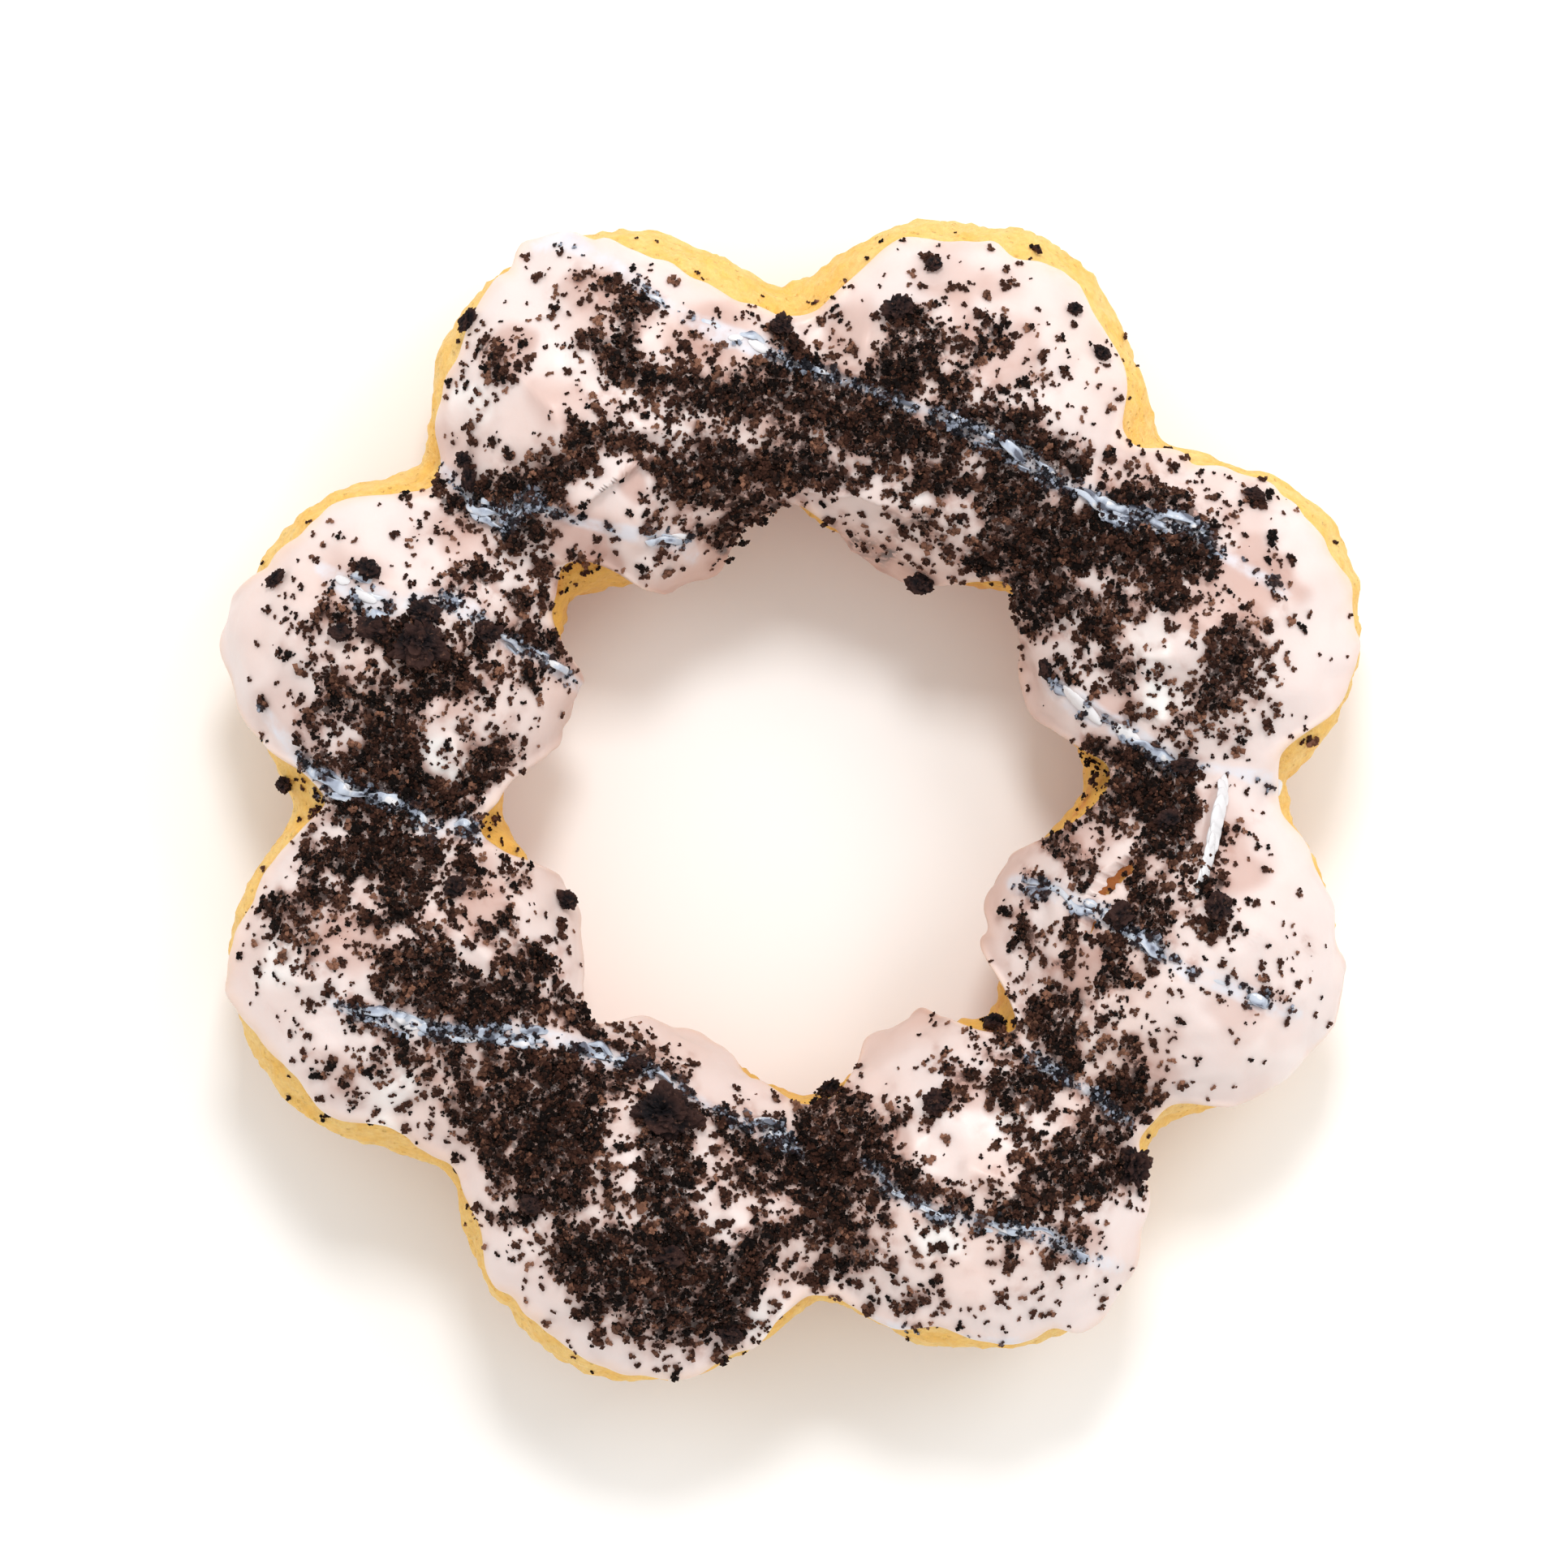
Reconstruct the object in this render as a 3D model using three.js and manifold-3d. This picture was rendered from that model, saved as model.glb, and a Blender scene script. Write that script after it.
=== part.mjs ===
// A mochi doughnut: eight soft balls of dough fried as one ring, coated on top with thin pink icing,
// scattered with chocolate cookie crumbs and crossed by five lines of milky drizzle.
// Millimetres and degrees, +Z up. The origin is on the table, under the middle of the ring's bounding box.
import * as THREE from "three";
import { mergeVertices } from "three/addons/utils/BufferGeometryUtils.js";
import Module from "manifold-3d";

// ---------------------------------------------------------------- driving dimensions

// Each ball of the ring: the angle of its centre from +X, the reach of its centre from the ring's middle, and
// half its width along the radius, half its width along the ring and half its height.
const BALLS = [
  { angle: 23.5, reach: 34.9, radial: 13.1, along: 13.3, rise: 12.3 },
  { angle: 67.5, reach: 34.5, radial: 14.1, along: 14.6, rise: 12.6 },
  { angle: 114, reach: 34.0, radial: 13.8, along: 14.6, rise: 12.4 },
  { angle: 159, reach: 33.2, radial: 12.8, along: 13.2, rise: 12.0 },
  { angle: 203.8, reach: 33.6, radial: 13.4, along: 14.1, rise: 12.2 },
  { angle: 250.3, reach: 34.3, radial: 13.5, along: 14.3, rise: 12.5 },
  { angle: 295.5, reach: 33.8, radial: 13.1, along: 13.1, rise: 12.1 },
  { angle: 339, reach: 32.1, radial: 13.0, along: 13.3, rise: 12.3 },
];
const RING_OFFSET = { x: 0, y: -0.1 }; // from the origin to the middle of the ring, which the uneven balls set
const EQUATOR = 11.2; // height of the balls' centres, so that each ball sits on a flat spot
const SECTION_REACH = 32.8; // reach of the line inside the tube that its cross-sections are drawn round

// Two sets of low waves that cross on the skin: their height, how fast each turns with x, y and z, and where it
// starts.
const BROAD_LUMPS = { height: 0.3, x: 0.31, startX: 0.4, y: 0.27, startY: 1.1 };
const FINE_LUMPS = { height: 0.16, slant: [0.62, -0.45, 0.3], y: 0.55, startY: 2.0 };

const DOUGH_BLEND = 2.4; // how softly neighbouring balls run into each other
const DOUGH_AROUND = 80; // cross-sections round the ring
const DOUGH_ACROSS = 18; // points round a cross-section

const ICING_BLEND = 3.0; // the icing pools in the creases, so it runs softer than the dough
const ICING_RISE = 1.15; // height of its upper surface over the dough
const ICING_GAP = 0.55; // between the dough and the icing's underside
const ICING_LIP = 0.4; // thickness at its edges
const ICING_AROUND = 80;
const ICING_ACROSS = 9;
const LIP_SHARE = 0.07; // share of the icing's width over which it thins to the lip

// Where the icing stops, as pairs of the angle round the ring and the angle round the tube above the balls'
// equator. The outer edge bares a rim of dough that is widest in the creases. The inner edge hangs below the
// equator on the balls and climbs in the creases.
const OUTER_EDGE = [
  [5, 54], [13, 21], [25, 21], [36, 27], [46, 58], [56, 30], [66, 24], [75, 32], [90, 58], [104, 38], [112, 24],
  [124, 12], [131, 22], [138, 48], [147, 28], [156, 20], [163, 6], [170, 8], [180, 58], [190, 30], [200, 22],
  [209, 38], [225, 44], [238, 30], [250, 22], [260, 26], [272, 52], [282, 32], [292, 22], [304, 6], [317, 50],
  [326, 14], [340, -2], [352, 20], [359, 36],
];
const INNER_EDGE = [
  [3, 40], [24, -6], [46, 36], [68, -8], [89, 30], [114, -10], [135, 48], [159, -6], [184, 40], [204, -6],
  [227, 28], [250, -12], [271, 38], [295, -8], [317, 48], [339, -12],
];

// The drizzle: five nearly straight strokes, three of them broken by the hole, by the points they pass over.
const DRIZZLE_RADIUS = 0.7;
const DRIZZLE_STEP = 3.2;
const DRIZZLE_SIDES = 6;
const DRIZZLE_SINK = 0.15; // how deep the middle of a stroke lies under the surface of the icing
const STROKES = [
  [[-18.2, 43.2], [-11.3, 39.4], [-4.9, 36.2], [1.5, 34.2], [13.1, 29.8], [23.9, 22.7], [30.3, 21.4], [40, 15.2]],
  [[-27.2, 25.6], [-21.5, 22.7], [-13.8, 21.1], [-8.4, 19.6]],
  [[18.4, 11.4], [23.9, 7.4], [31, 2.9], [38.7, 0.6]],
  [[-40.6, 17.5], [-34.9, 17], [-26.6, 15], [-18.4, 10.4]],
  [[20.6, -8.2], [29.1, -12.5], [39, -16.7]],
  [[-38.1, 2.2], [-32.4, 0.3], [-28.5, -2.2], [-24.1, -2.9]],
  [[19.5, -20.8], [22.7, -22.1], [25.2, -24.6]],
  [[-35.6, -16.3], [-26.6, -18.2], [-11.3, -21.4], [-1.7, -26.6], [12.4, -32.3], [17.5, -33], [25.2, -36.8]],
];

// The split in the icing that bares browned crust: its middle, length, width and turn.
const SPLIT = { x: 25.1, y: -6.2, length: 3.8, width: 0.9, turn: 34 };

// Where the crumbs lie: the middle of each mat, its half length and half width, its turn from +X, and the
// share of the surface that it hides.
const CRUMB_MATS = [
  [-13.0, 36.6, 4.0, 2.0, -70, 0.6],
  [-6.0, 32.0, 4.2, 1.4, 0, 0.9],
  [0.0, 34.0, 2.6, 3.0, 0, 0.9],
  [4.1, 31.0, 4.6, 2.3, -15, 0.9],
  [9.1, 35.0, 4.2, 2.3, 75, 0.9],
  [12.1, 29.4, 3.0, 1.8, 15, 0.9],
  [-5.0, 25.6, 5.6, 2.0, 5, 0.9],
  [10.4, 25.6, 3.2, 1.4, 0, 0.8],
  [-20.2, 24.0, 3.8, 2.0, 35, 0.9],
  [18.6, 27.4, 4.6, 2.6, -20, 0.7],
  [17.6, 23.2, 3.0, 4.0, 0, 0.9],
  [23.2, 19.8, 7.4, 2.2, -5, 0.9],
  [20.0, 16.8, 4.6, 3.0, -25, 0.9],
  [28.6, 16.4, 4.0, 1.6, 5, 0.6],
  [34.1, 11.8, 2.0, 3.4, 0, 0.9],
  [26.1, 9.8, 1.2, 3.2, -10, 0.6],
  [26.8, 1.2, 4.0, 3.6, 0, 1.0],
  [29.3, -3.2, 2.6, 2.6, 0, 0.9],
  [22.3, -4.6, 3.0, 1.5, -35, 0.6],
  [28.1, -9.4, 2.6, 2.6, 0, 0.9],
  [18.8, -11.0, 1.4, 2.4, 0, 0.5],
  [21.3, -18.0, 2.2, 3.0, 0, 0.9],
  [18.2, -23.0, 2.8, 1.4, 10, 0.8],
  [26.4, -21.6, 1.6, 3.4, 0, 0.8],
  [17.8, -32.4, 2.0, 1.9, 0, 0.9],
  [24.0, -30.6, 4.2, 1.6, 5, 0.8],
  [3.8, -26.0, 4.0, 3.2, 0, 1.0],
  [2.4, -30.6, 5.4, 2.4, 5, 0.9],
  [10.0, -30.2, 3.2, 1.6, -30, 0.9],
  [-19.4, -25.0, 5.0, 4.2, 0, 1.0],
  [-9.0, -26.0, 2.6, 3.0, 0, 0.9],
  [-12.0, -36.6, 6.6, 3.6, 0, 1.0],
  [-6.6, -38.8, 4.8, 2.8, 10, 1.0],
  [-26.6, -15.4, 5.2, 2.6, -20, 0.9],
  [-20.4, -13.4, 1.9, 1.7, 0, 0.9],
  [-32.0, 2.4, 3.2, 4.6, 0, 1.0],
  [-24.4, 1.4, 1.4, 3.0, -40, 0.9],
  [-31.8, -4.8, 4.8, 2.6, 5, 1.0],
  [-26.6, 10.8, 2.4, 2.8, 0, 0.9],
  [-31.4, 8.8, 3.8, 2.6, 0, 0.8],
  [-36.2, 8.0, 2.8, 1.6, 15, 0.7],
  [-40.0, -8.4, 1.6, 1.2, 0, 0.6],
  [-18.8, 11.8, 1.4, 1.2, 0, 0.8],
];
const CRUMB_SEED = 8;
const MAT_CRUMB = { radius: 0.72, spread: 0.3, spacing: 1.7, drizzleRoom: 1.5, most: 230 };

// The crumbs big enough to be picked out one by one: x, y and radius.
const BIG_CRUMBS = [
  [8.7, 38.4, 1.3],
  [-29.4, 12.2, 1.9],
  [-10.0, -25.2, 2.2],
  [26.6, -29.0, 1.7],
  [11.4, -24.0, 1.0],
  [-26.6, -7.0, 0.95],
  [17.6, -3.0, 0.9],
  [34.2, 12.6, 1.5],
  [10.5, 17.6, 0.9],
  [-31.8, 16.8, 1.0],
  [15.9, -18.0, 1.3],
  [-12.6, -30.6, 1.2],
  [-27.6, -25.6, 1.0],
  [28.4, 20.6, 1.1],
  [-18.2, 20.4, 1.0],
  [-25.6, 38.0, 0.8],
];
const CRUMB_DEPTH = 0.45; // how deep a crumb is pressed into the icing
const BIG_CRUMB_FLATNESS = 0.6; // height of a big crumb as a share of its width
const CRUMB_JITTER = 0.3; // how far a crumb's corners are pulled about, as a share of its radius
const STEEPEST_CRUMB = 0.42; // no crumb lies where the surface's normal points up less than this

const FRIED = { color: 0xe9b863, roughness: 0.75, metalness: 0 };
const ICED = { color: 0xf1dfda, roughness: 0.35, metalness: 0 };

// ---------------------------------------------------------------- helpers

const { degToRad, euclideanModulo, lerp, radToDeg, smoothstep } = THREE.MathUtils;
const UP = new THREE.Vector3(0, 0, 1);
const SAME_CORNER = 1e-4; // corners nearer to each other than this are one
const SAME_CRUMB_CORNER = 1e-3;

/** Seeded random numbers from 0 to 1, the same on every run. */
function seededRandom(seed) {
  let state = seed;
  return () => {
    state = (state + 0x6d2b79f5) | 0;
    let t = Math.imul(state ^ (state >>> 15), 1 | state);
    t = (t + Math.imul(t ^ (t >>> 7), 61 | t)) ^ t;
    return ((t ^ (t >>> 14)) >>> 0) / 4294967296;
  };
}

/** The place along [low, high] where a rising function crosses zero. */
function crossing(rising, low, high) {
  const HALVINGS = 26;
  for (let i = 0; i < HALVINGS; i++) {
    const middle = (low + high) / 2;
    if (rising(middle) < 0) low = middle;
    else high = middle;
  }
  return (low + high) / 2;
}

/** A closed solid skinned over closed cross-sections that follow each other round the ring. */
function closedRing(sections) {
  const across = sections[0].length;
  const positions = sections.flat().flatMap((p) => [p.x, p.y, p.z]);
  const index = [];
  sections.forEach((_, i) => {
    const here = i * across;
    const next = ((i + 1) % sections.length) * across;
    for (let j = 0; j < across; j++) {
      const k = (j + 1) % across;
      index.push(here + j, next + j, next + k, here + j, next + k, here + k);
    }
  });
  const geometry = new THREE.BufferGeometry();
  geometry.setAttribute("position", new THREE.Float32BufferAttribute(positions, 3));
  geometry.setIndex(index);
  return geometry;
}

// ---------------------------------------------------------------- the form of the doughnut

const balls = BALLS.map((ball) => {
  const turn = degToRad(ball.angle);
  return {
    ...ball,
    cos: Math.cos(turn),
    sin: Math.sin(turn),
    x: ball.reach * Math.cos(turn) + RING_OFFSET.x,
    y: ball.reach * Math.sin(turn) + RING_OFFSET.y,
  };
});

/** Roughly the distance from a point to the ring's skin, below zero inside: a soft union of the balls. */
function ringDistance(point, blend) {
  let sum = 0;
  for (const ball of balls) {
    const dx = point.x - ball.x;
    const dy = point.y - ball.y;
    const out = dx * ball.cos + dy * ball.sin;
    const along = dy * ball.cos - dx * ball.sin;
    const up = point.z - EQUATOR;
    const near = Math.hypot(out / ball.radial, along / ball.along, up / ball.rise);
    const slope = Math.hypot(out / ball.radial ** 2, along / ball.along ** 2, up / ball.rise ** 2);
    sum += Math.exp((-near * (near - 1)) / Math.max(slope, 1e-9) / blend);
  }
  return -blend * Math.log(sum);
}

/** Low lumps that keep the skin from being perfectly smooth, in millimetres. */
function lumps(point) {
  const broad = BROAD_LUMPS;
  const fine = FINE_LUMPS;
  const broadWave = Math.sin(broad.x * point.x + broad.startX) * Math.sin(broad.y * point.y + broad.startY);
  const slanted = fine.slant[0] * point.x + fine.slant[1] * point.y + fine.slant[2] * point.z;
  const fineWave = Math.sin(slanted) * Math.sin(fine.y * point.y + fine.startY);
  return broad.height * broadWave + fine.height * fineWave;
}

const doughDistance = (point) => ringDistance(point, DOUGH_BLEND) - lumps(point);
const icingDistance = (point) => ringDistance(point, ICING_BLEND) - lumps(point) - ICING_RISE;

/** The point at a distance from the tube's inner line, at an angle round the ring and round the tube. */
function tubePoint(around, across, distance) {
  const reach = SECTION_REACH + distance * Math.cos(across);
  return new THREE.Vector3(
    reach * Math.cos(around) + RING_OFFSET.x,
    reach * Math.sin(around) + RING_OFFSET.y,
    EQUATOR + distance * Math.sin(across),
  );
}

/** How far the skin lies from the tube's inner line in that direction. */
function skinReach(distanceTo, around, across) {
  const FARTHEST = 22;
  return crossing((d) => distanceTo(tubePoint(around, across, d)), 0, FARTHEST);
}

// ---------------------------------------------------------------- the dough

function doughSection(around) {
  const section = [];
  for (let j = 0; j < DOUGH_ACROSS; j++) {
    const across = (2 * Math.PI * j) / DOUGH_ACROSS - Math.PI / 2;
    const tableReach = Math.sin(across) < 0 ? EQUATOR / -Math.sin(across) : Infinity;
    section.push(tubePoint(around, across, Math.min(skinReach(doughDistance, around, across), tableReach)));
  }
  return section.map((p) => p.setZ(Math.max(p.z, 0)));
}

function doughGeometry() {
  const sections = [];
  for (let i = 0; i < DOUGH_AROUND; i++) sections.push(doughSection((2 * Math.PI * i) / DOUGH_AROUND));
  return closedRing(sections);
}

// ---------------------------------------------------------------- the icing

/** The value of a list of [angle round the ring, value] pairs at an angle, eased from pair to pair. */
function roundTheRing(pairs, around) {
  const first = pairs[0][0];
  const turned = euclideanModulo(radToDeg(around) - first, 360) + first;
  const last = pairs.findLastIndex(([angle]) => angle <= turned);
  const [start, from] = pairs[last];
  const [end, to] = last + 1 < pairs.length ? pairs[last + 1] : [first + 360, pairs[0][1]];
  return lerp(from, to, smoothstep(turned, start, end));
}

/** How the icing thins towards its two edges: 0 at an edge and 1 over most of its width. */
function lipShape(share) {
  const inward = Math.min(share, 1 - share) / LIP_SHARE;
  return inward >= 1 ? 1 : Math.sqrt(1 - (1 - inward) ** 2);
}

function icingSection(around) {
  const start = degToRad(roundTheRing(OUTER_EDGE, around));
  const end = Math.PI - degToRad(roundTheRing(INNER_EDGE, around));
  const top = [];
  const underside = [];
  for (let j = 0; j <= ICING_ACROSS; j++) {
    const share = j / ICING_ACROSS;
    const across = lerp(start, end, share);
    const bottom = skinReach(doughDistance, around, across) + ICING_GAP;
    const full = skinReach(icingDistance, around, across);
    top.push(tubePoint(around, across, lerp(bottom + ICING_LIP, full, lipShape(share))));
    underside.unshift(tubePoint(around, across, bottom));
  }
  return [...top, ...underside];
}

function icingGeometry() {
  const sections = [];
  for (let i = 0; i < ICING_AROUND; i++) sections.push(icingSection((2 * Math.PI * i) / ICING_AROUND));
  return closedRing(sections);
}

/** The point of the icing's upper surface over x, y, with its normal, or null where no icing lies well inside. */
function icingAt(x, y) {
  const HIGHEST = 40;
  if (icingDistance({ x, y, z: EQUATOR }) > 0) return null;
  const z = crossing((height) => icingDistance({ x, y, z: height }), EQUATOR, HIGHEST);
  const STEP = 0.05;
  const normal = new THREE.Vector3(
    icingDistance({ x: x + STEP, y, z }) - icingDistance({ x: x - STEP, y, z }),
    icingDistance({ x, y: y + STEP, z }) - icingDistance({ x, y: y - STEP, z }),
    icingDistance({ x, y, z: z + STEP }) - icingDistance({ x, y, z: z - STEP }),
  ).normalize();
  const around = Math.atan2(y - RING_OFFSET.y, x - RING_OFFSET.x);
  const outward = Math.hypot(x - RING_OFFSET.x, y - RING_OFFSET.y) - SECTION_REACH;
  const across = Math.atan2(z - EQUATOR, outward);
  const start = degToRad(roundTheRing(OUTER_EDGE, around));
  const end = Math.PI - degToRad(roundTheRing(INNER_EDGE, around));
  const share = (across - start) / (end - start);
  if (Math.min(share, 1 - share) < LIP_SHARE / 2) return null;
  return { point: new THREE.Vector3(x, y, z), normal };
}

// ---------------------------------------------------------------- solids that are fused and cut

const wasm = await Module();
wasm.setup();

function solidOf(geometry) {
  const bare = geometry.clone();
  bare.deleteAttribute("normal");
  bare.deleteAttribute("uv");
  const merged = mergeVertices(bare, SAME_CORNER);
  return new wasm.Manifold(
    new wasm.Mesh({
      numProp: 3,
      vertProperties: merged.attributes.position.array,
      triVerts: new Uint32Array(merged.index.array),
    }),
  );
}

function geometryOf(solid) {
  const mesh = solid.getMesh();
  const geometry = new THREE.BufferGeometry();
  geometry.setAttribute("position", new THREE.BufferAttribute(mesh.vertProperties, 3));
  geometry.setIndex(new THREE.BufferAttribute(mesh.triVerts, 1));
  return geometry;
}

/** An angular crumb, pressed into the icing. Big crumbs have twenty faces and lie flat, small ones have eight. */
function crumbGeometry(place, radius, big, random) {
  const rough = big ? new THREE.IcosahedronGeometry(radius) : new THREE.OctahedronGeometry(radius);
  rough.deleteAttribute("normal");
  rough.deleteAttribute("uv");
  const crumb = mergeVertices(rough, SAME_CRUMB_CORNER);
  const corners = crumb.attributes.position;
  for (let i = 0; i < corners.count; i++) {
    const pull = 1 + CRUMB_JITTER * (2 * random() - 1);
    corners.setXYZ(i, corners.getX(i) * pull, corners.getY(i) * pull, corners.getZ(i) * pull);
  }
  crumb.rotateX(Math.PI * random());
  crumb.rotateZ(Math.PI * random());
  crumb.scale(1, 1, big ? BIG_CRUMB_FLATNESS : 1);
  crumb.computeBoundingBox();
  crumb.translate(0, 0, -crumb.boundingBox.min.z - CRUMB_DEPTH);
  crumb.applyQuaternion(new THREE.Quaternion().setFromUnitVectors(UP, place.normal));
  return crumb.translate(place.point.x, place.point.y, place.point.z);
}

/** One crumb's place, drawn at random within a mat. */
function drawInMat([x, y, long, wide, turn], random) {
  const swing = 2 * Math.PI * random();
  const out = Math.sqrt(random());
  const place = new THREE.Vector2(long * out * Math.cos(swing), wide * out * Math.sin(swing));
  place.rotateAround(new THREE.Vector2(), degToRad(turn)).add(new THREE.Vector2(x, y));
  return { x: place.x, y: place.y, radius: MAT_CRUMB.radius * (1 + MAT_CRUMB.spread * (2 * random() - 1)) };
}

const strokePlans = STROKES.map(
  (stroke) => new THREE.CatmullRomCurve3(stroke.map(([x, y]) => new THREE.Vector3(x, y, 0))),
);
const STROKE_MARKS = 24; // marks along each stroke that crumbs are kept away from
const strokeMarks = strokePlans.flatMap((plan) => plan.getSpacedPoints(STROKE_MARKS));

/** Whether a crumb at x, y would lie under a stroke of the drizzle. */
function underDrizzle(x, y) {
  const here = new THREE.Vector3(x, y, 0);
  return strokeMarks.some((mark) => mark.distanceTo(here) < MAT_CRUMB.drizzleRoom);
}

/** Where the crumbs lie: the big ones, then seeded draws in the mats, the largest first and none on another. */
function crumbPlaces(random) {
  const DRAWS_PER_AREA = 2.2;
  const places = BIG_CRUMBS.map(([x, y, radius]) => ({ x, y, radius, big: true }));
  const draws = CRUMB_MATS.flatMap((mat) => {
    const [, , long, wide, , share] = mat;
    const length = Math.round(share * long * wide * DRAWS_PER_AREA);
    return Array.from({ length }, () => drawInMat(mat, random));
  });
  for (const draw of draws.sort((a, b) => b.radius - a.radius)) {
    const crowded = places.some((p) => {
      const room = MAT_CRUMB.spacing + (p.big ? p.radius : 0);
      return Math.hypot(p.x - draw.x, p.y - draw.y) < room;
    });
    if (places.length < MAT_CRUMB.most && !crowded && !underDrizzle(draw.x, draw.y)) places.push(draw);
  }
  return places;
}

function crumbSolids() {
  const random = seededRandom(CRUMB_SEED);
  const made = [];
  for (const { x, y, radius, big } of crumbPlaces(random)) {
    const place = icingAt(x, y);
    if (!place || place.normal.z <= STEEPEST_CRUMB) continue;
    made.push(solidOf(crumbGeometry(place, radius, big, random)));
  }
  return made;
}

/** A strand along a stroke, half sunk in the icing that it follows. */
function drizzleSolid(plan) {
  const steps = Math.max(2, Math.round(plan.getLength() / DRIZZLE_STEP));
  const route = [];
  for (const { x, y } of plan.getSpacedPoints(steps)) {
    const place = icingAt(x, y);
    if (place) route.push(place.point.clone().addScaledVector(place.normal, -DRIZZLE_SINK));
  }
  const section = new THREE.Shape(
    Array.from({ length: DRIZZLE_SIDES }, (_, i) => {
      const turn = (2 * Math.PI * i) / DRIZZLE_SIDES;
      return new THREE.Vector2(DRIZZLE_RADIUS * Math.cos(turn), DRIZZLE_RADIUS * Math.sin(turn));
    }),
  );
  const extrudePath = new THREE.CatmullRomCurve3(route);
  return solidOf(new THREE.ExtrudeGeometry(section, { steps: route.length - 1, extrudePath }));
}

/** A lens-shaped blade that cuts the split through the icing. */
function splitSolid() {
  const half = SPLIT.length / 2;
  const lens = new THREE.Shape();
  lens.moveTo(-half, 0);
  lens.quadraticCurveTo(0, -SPLIT.width, half, 0);
  lens.quadraticCurveTo(0, SPLIT.width, -half, 0);
  const DEPTH = 12;
  const blade = new THREE.ExtrudeGeometry(lens, { depth: DEPTH, bevelEnabled: false, curveSegments: 4 });
  blade.rotateZ(degToRad(SPLIT.turn));
  blade.translate(SPLIT.x, SPLIT.y, EQUATOR + DEPTH / 2);
  return solidOf(blade);
}

/** The icing with its drizzle and crumbs fused on and the split cut out, without slivers or loose scraps. */
function icedGeometry() {
  const SLIVER = 0.01;
  const coat = solidOf(icingGeometry());
  const fused = wasm.Manifold.union([coat, ...strokePlans.map(drizzleSolid), ...crumbSolids()]);
  const bodies = fused.subtract(splitSolid()).asOriginal().simplify(SLIVER).decompose();
  return geometryOf(bodies.sort((a, b) => b.volume() - a.volume())[0]);
}

// ---------------------------------------------------------------- the doughnut

function part(name, geometry, look) {
  const mesh = new THREE.Mesh(geometry, new THREE.MeshStandardMaterial(look));
  mesh.name = name;
  return mesh;
}

const doughnut = new THREE.Group();
doughnut.add(part("dough_ring", doughGeometry(), FRIED));
doughnut.add(part("icing", icedGeometry(), ICED));

export default doughnut;
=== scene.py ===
"""The looks of a mochi doughnut: eight soft balls of fried dough in one ring, thin pale pink icing,
chocolate cookie crumbs and a milky drizzle. Shapes are worked out in millimetres and turned to metres in
mesh_piece(). Places on the icing are given as pixels of the reference photograph, which looks straight down
on it. Layers of noise are rows of height, size and seed."""

import itertools
import math

import bpy
import numpy as np
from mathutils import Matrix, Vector
from mathutils.bvhtree import BVHTree


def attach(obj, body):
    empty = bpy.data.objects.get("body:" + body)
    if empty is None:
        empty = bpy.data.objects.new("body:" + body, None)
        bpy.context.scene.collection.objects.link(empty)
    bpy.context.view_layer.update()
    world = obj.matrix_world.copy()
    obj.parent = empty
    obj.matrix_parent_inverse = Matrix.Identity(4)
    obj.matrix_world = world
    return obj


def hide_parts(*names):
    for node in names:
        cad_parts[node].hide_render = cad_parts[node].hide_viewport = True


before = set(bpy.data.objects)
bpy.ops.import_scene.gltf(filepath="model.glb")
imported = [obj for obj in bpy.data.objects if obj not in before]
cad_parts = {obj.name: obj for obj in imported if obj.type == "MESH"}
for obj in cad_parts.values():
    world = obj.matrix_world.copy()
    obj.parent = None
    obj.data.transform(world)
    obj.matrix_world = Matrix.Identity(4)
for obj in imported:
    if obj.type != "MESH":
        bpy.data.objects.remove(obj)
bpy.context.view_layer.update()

# ---------------------------------------------------------------- driving dimensions, in mm and degrees

MM = 0.001

# The reference photograph: its width in pixels, its scale, and the pixel that looks at the origin.
PHOTO_WIDTH = 1932
PHOTO_MM = 0.064
PHOTO_ORIGIN = np.array([976.0, 985.0])
CAMERA_HEIGHT = 1000.0
CAMERA_CLIP = (50.0, 10000.0)  # the nearest and the farthest that it sees
SENSOR_WIDTH = 36.0
TOPPING_HEIGHT = 20.5  # the usual height of what lies on the icing, for places taken from the photograph

CAMERA_AXIS = (PHOTO_WIDTH / 2 - PHOTO_ORIGIN) * [1, -1] * PHOTO_MM

TABLE_HALF = 2000.0
TABLE_GAP = 0.02  # how far it lies under the doughnut
SQUARE = [(-1, -1), (1, -1), (1, 1), (-1, 1)]
LIGHT_DISTANCE = 800.0
SKY_STRENGTH = 0.87
CRUMB_SEED = 7  # for the random draws of the crumbs

# Each ball: angle round the ring, reach of its centre, and half its width outwards, along the ring and in
# height.
BALLS = np.array([
    [23.5, 34.9, 13.1, 13.3, 12.3],
    [67.5, 34.5, 14.1, 14.6, 12.6],
    [114.0, 34.0, 13.8, 14.6, 12.4],
    [159.0, 33.2, 12.8, 13.2, 12.0],
    [203.8, 33.6, 13.4, 14.1, 12.2],
    [250.3, 34.3, 13.5, 14.3, 12.5],
    [295.5, 33.8, 13.1, 13.1, 12.1],
    [339.0, 32.1, 13.0, 13.3, 12.3],
])
RING_MIDDLE = np.array([0.0, -0.1])
EQUATOR = 11.2  # height of the balls' widest line
SECTION_REACH = 32.8  # radius of the tube's inner line, from which its skin is measured
FARTHEST_SKIN = 22.0
SKIN_STEPS = 18  # how often that reach is halved to find the skin

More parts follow.
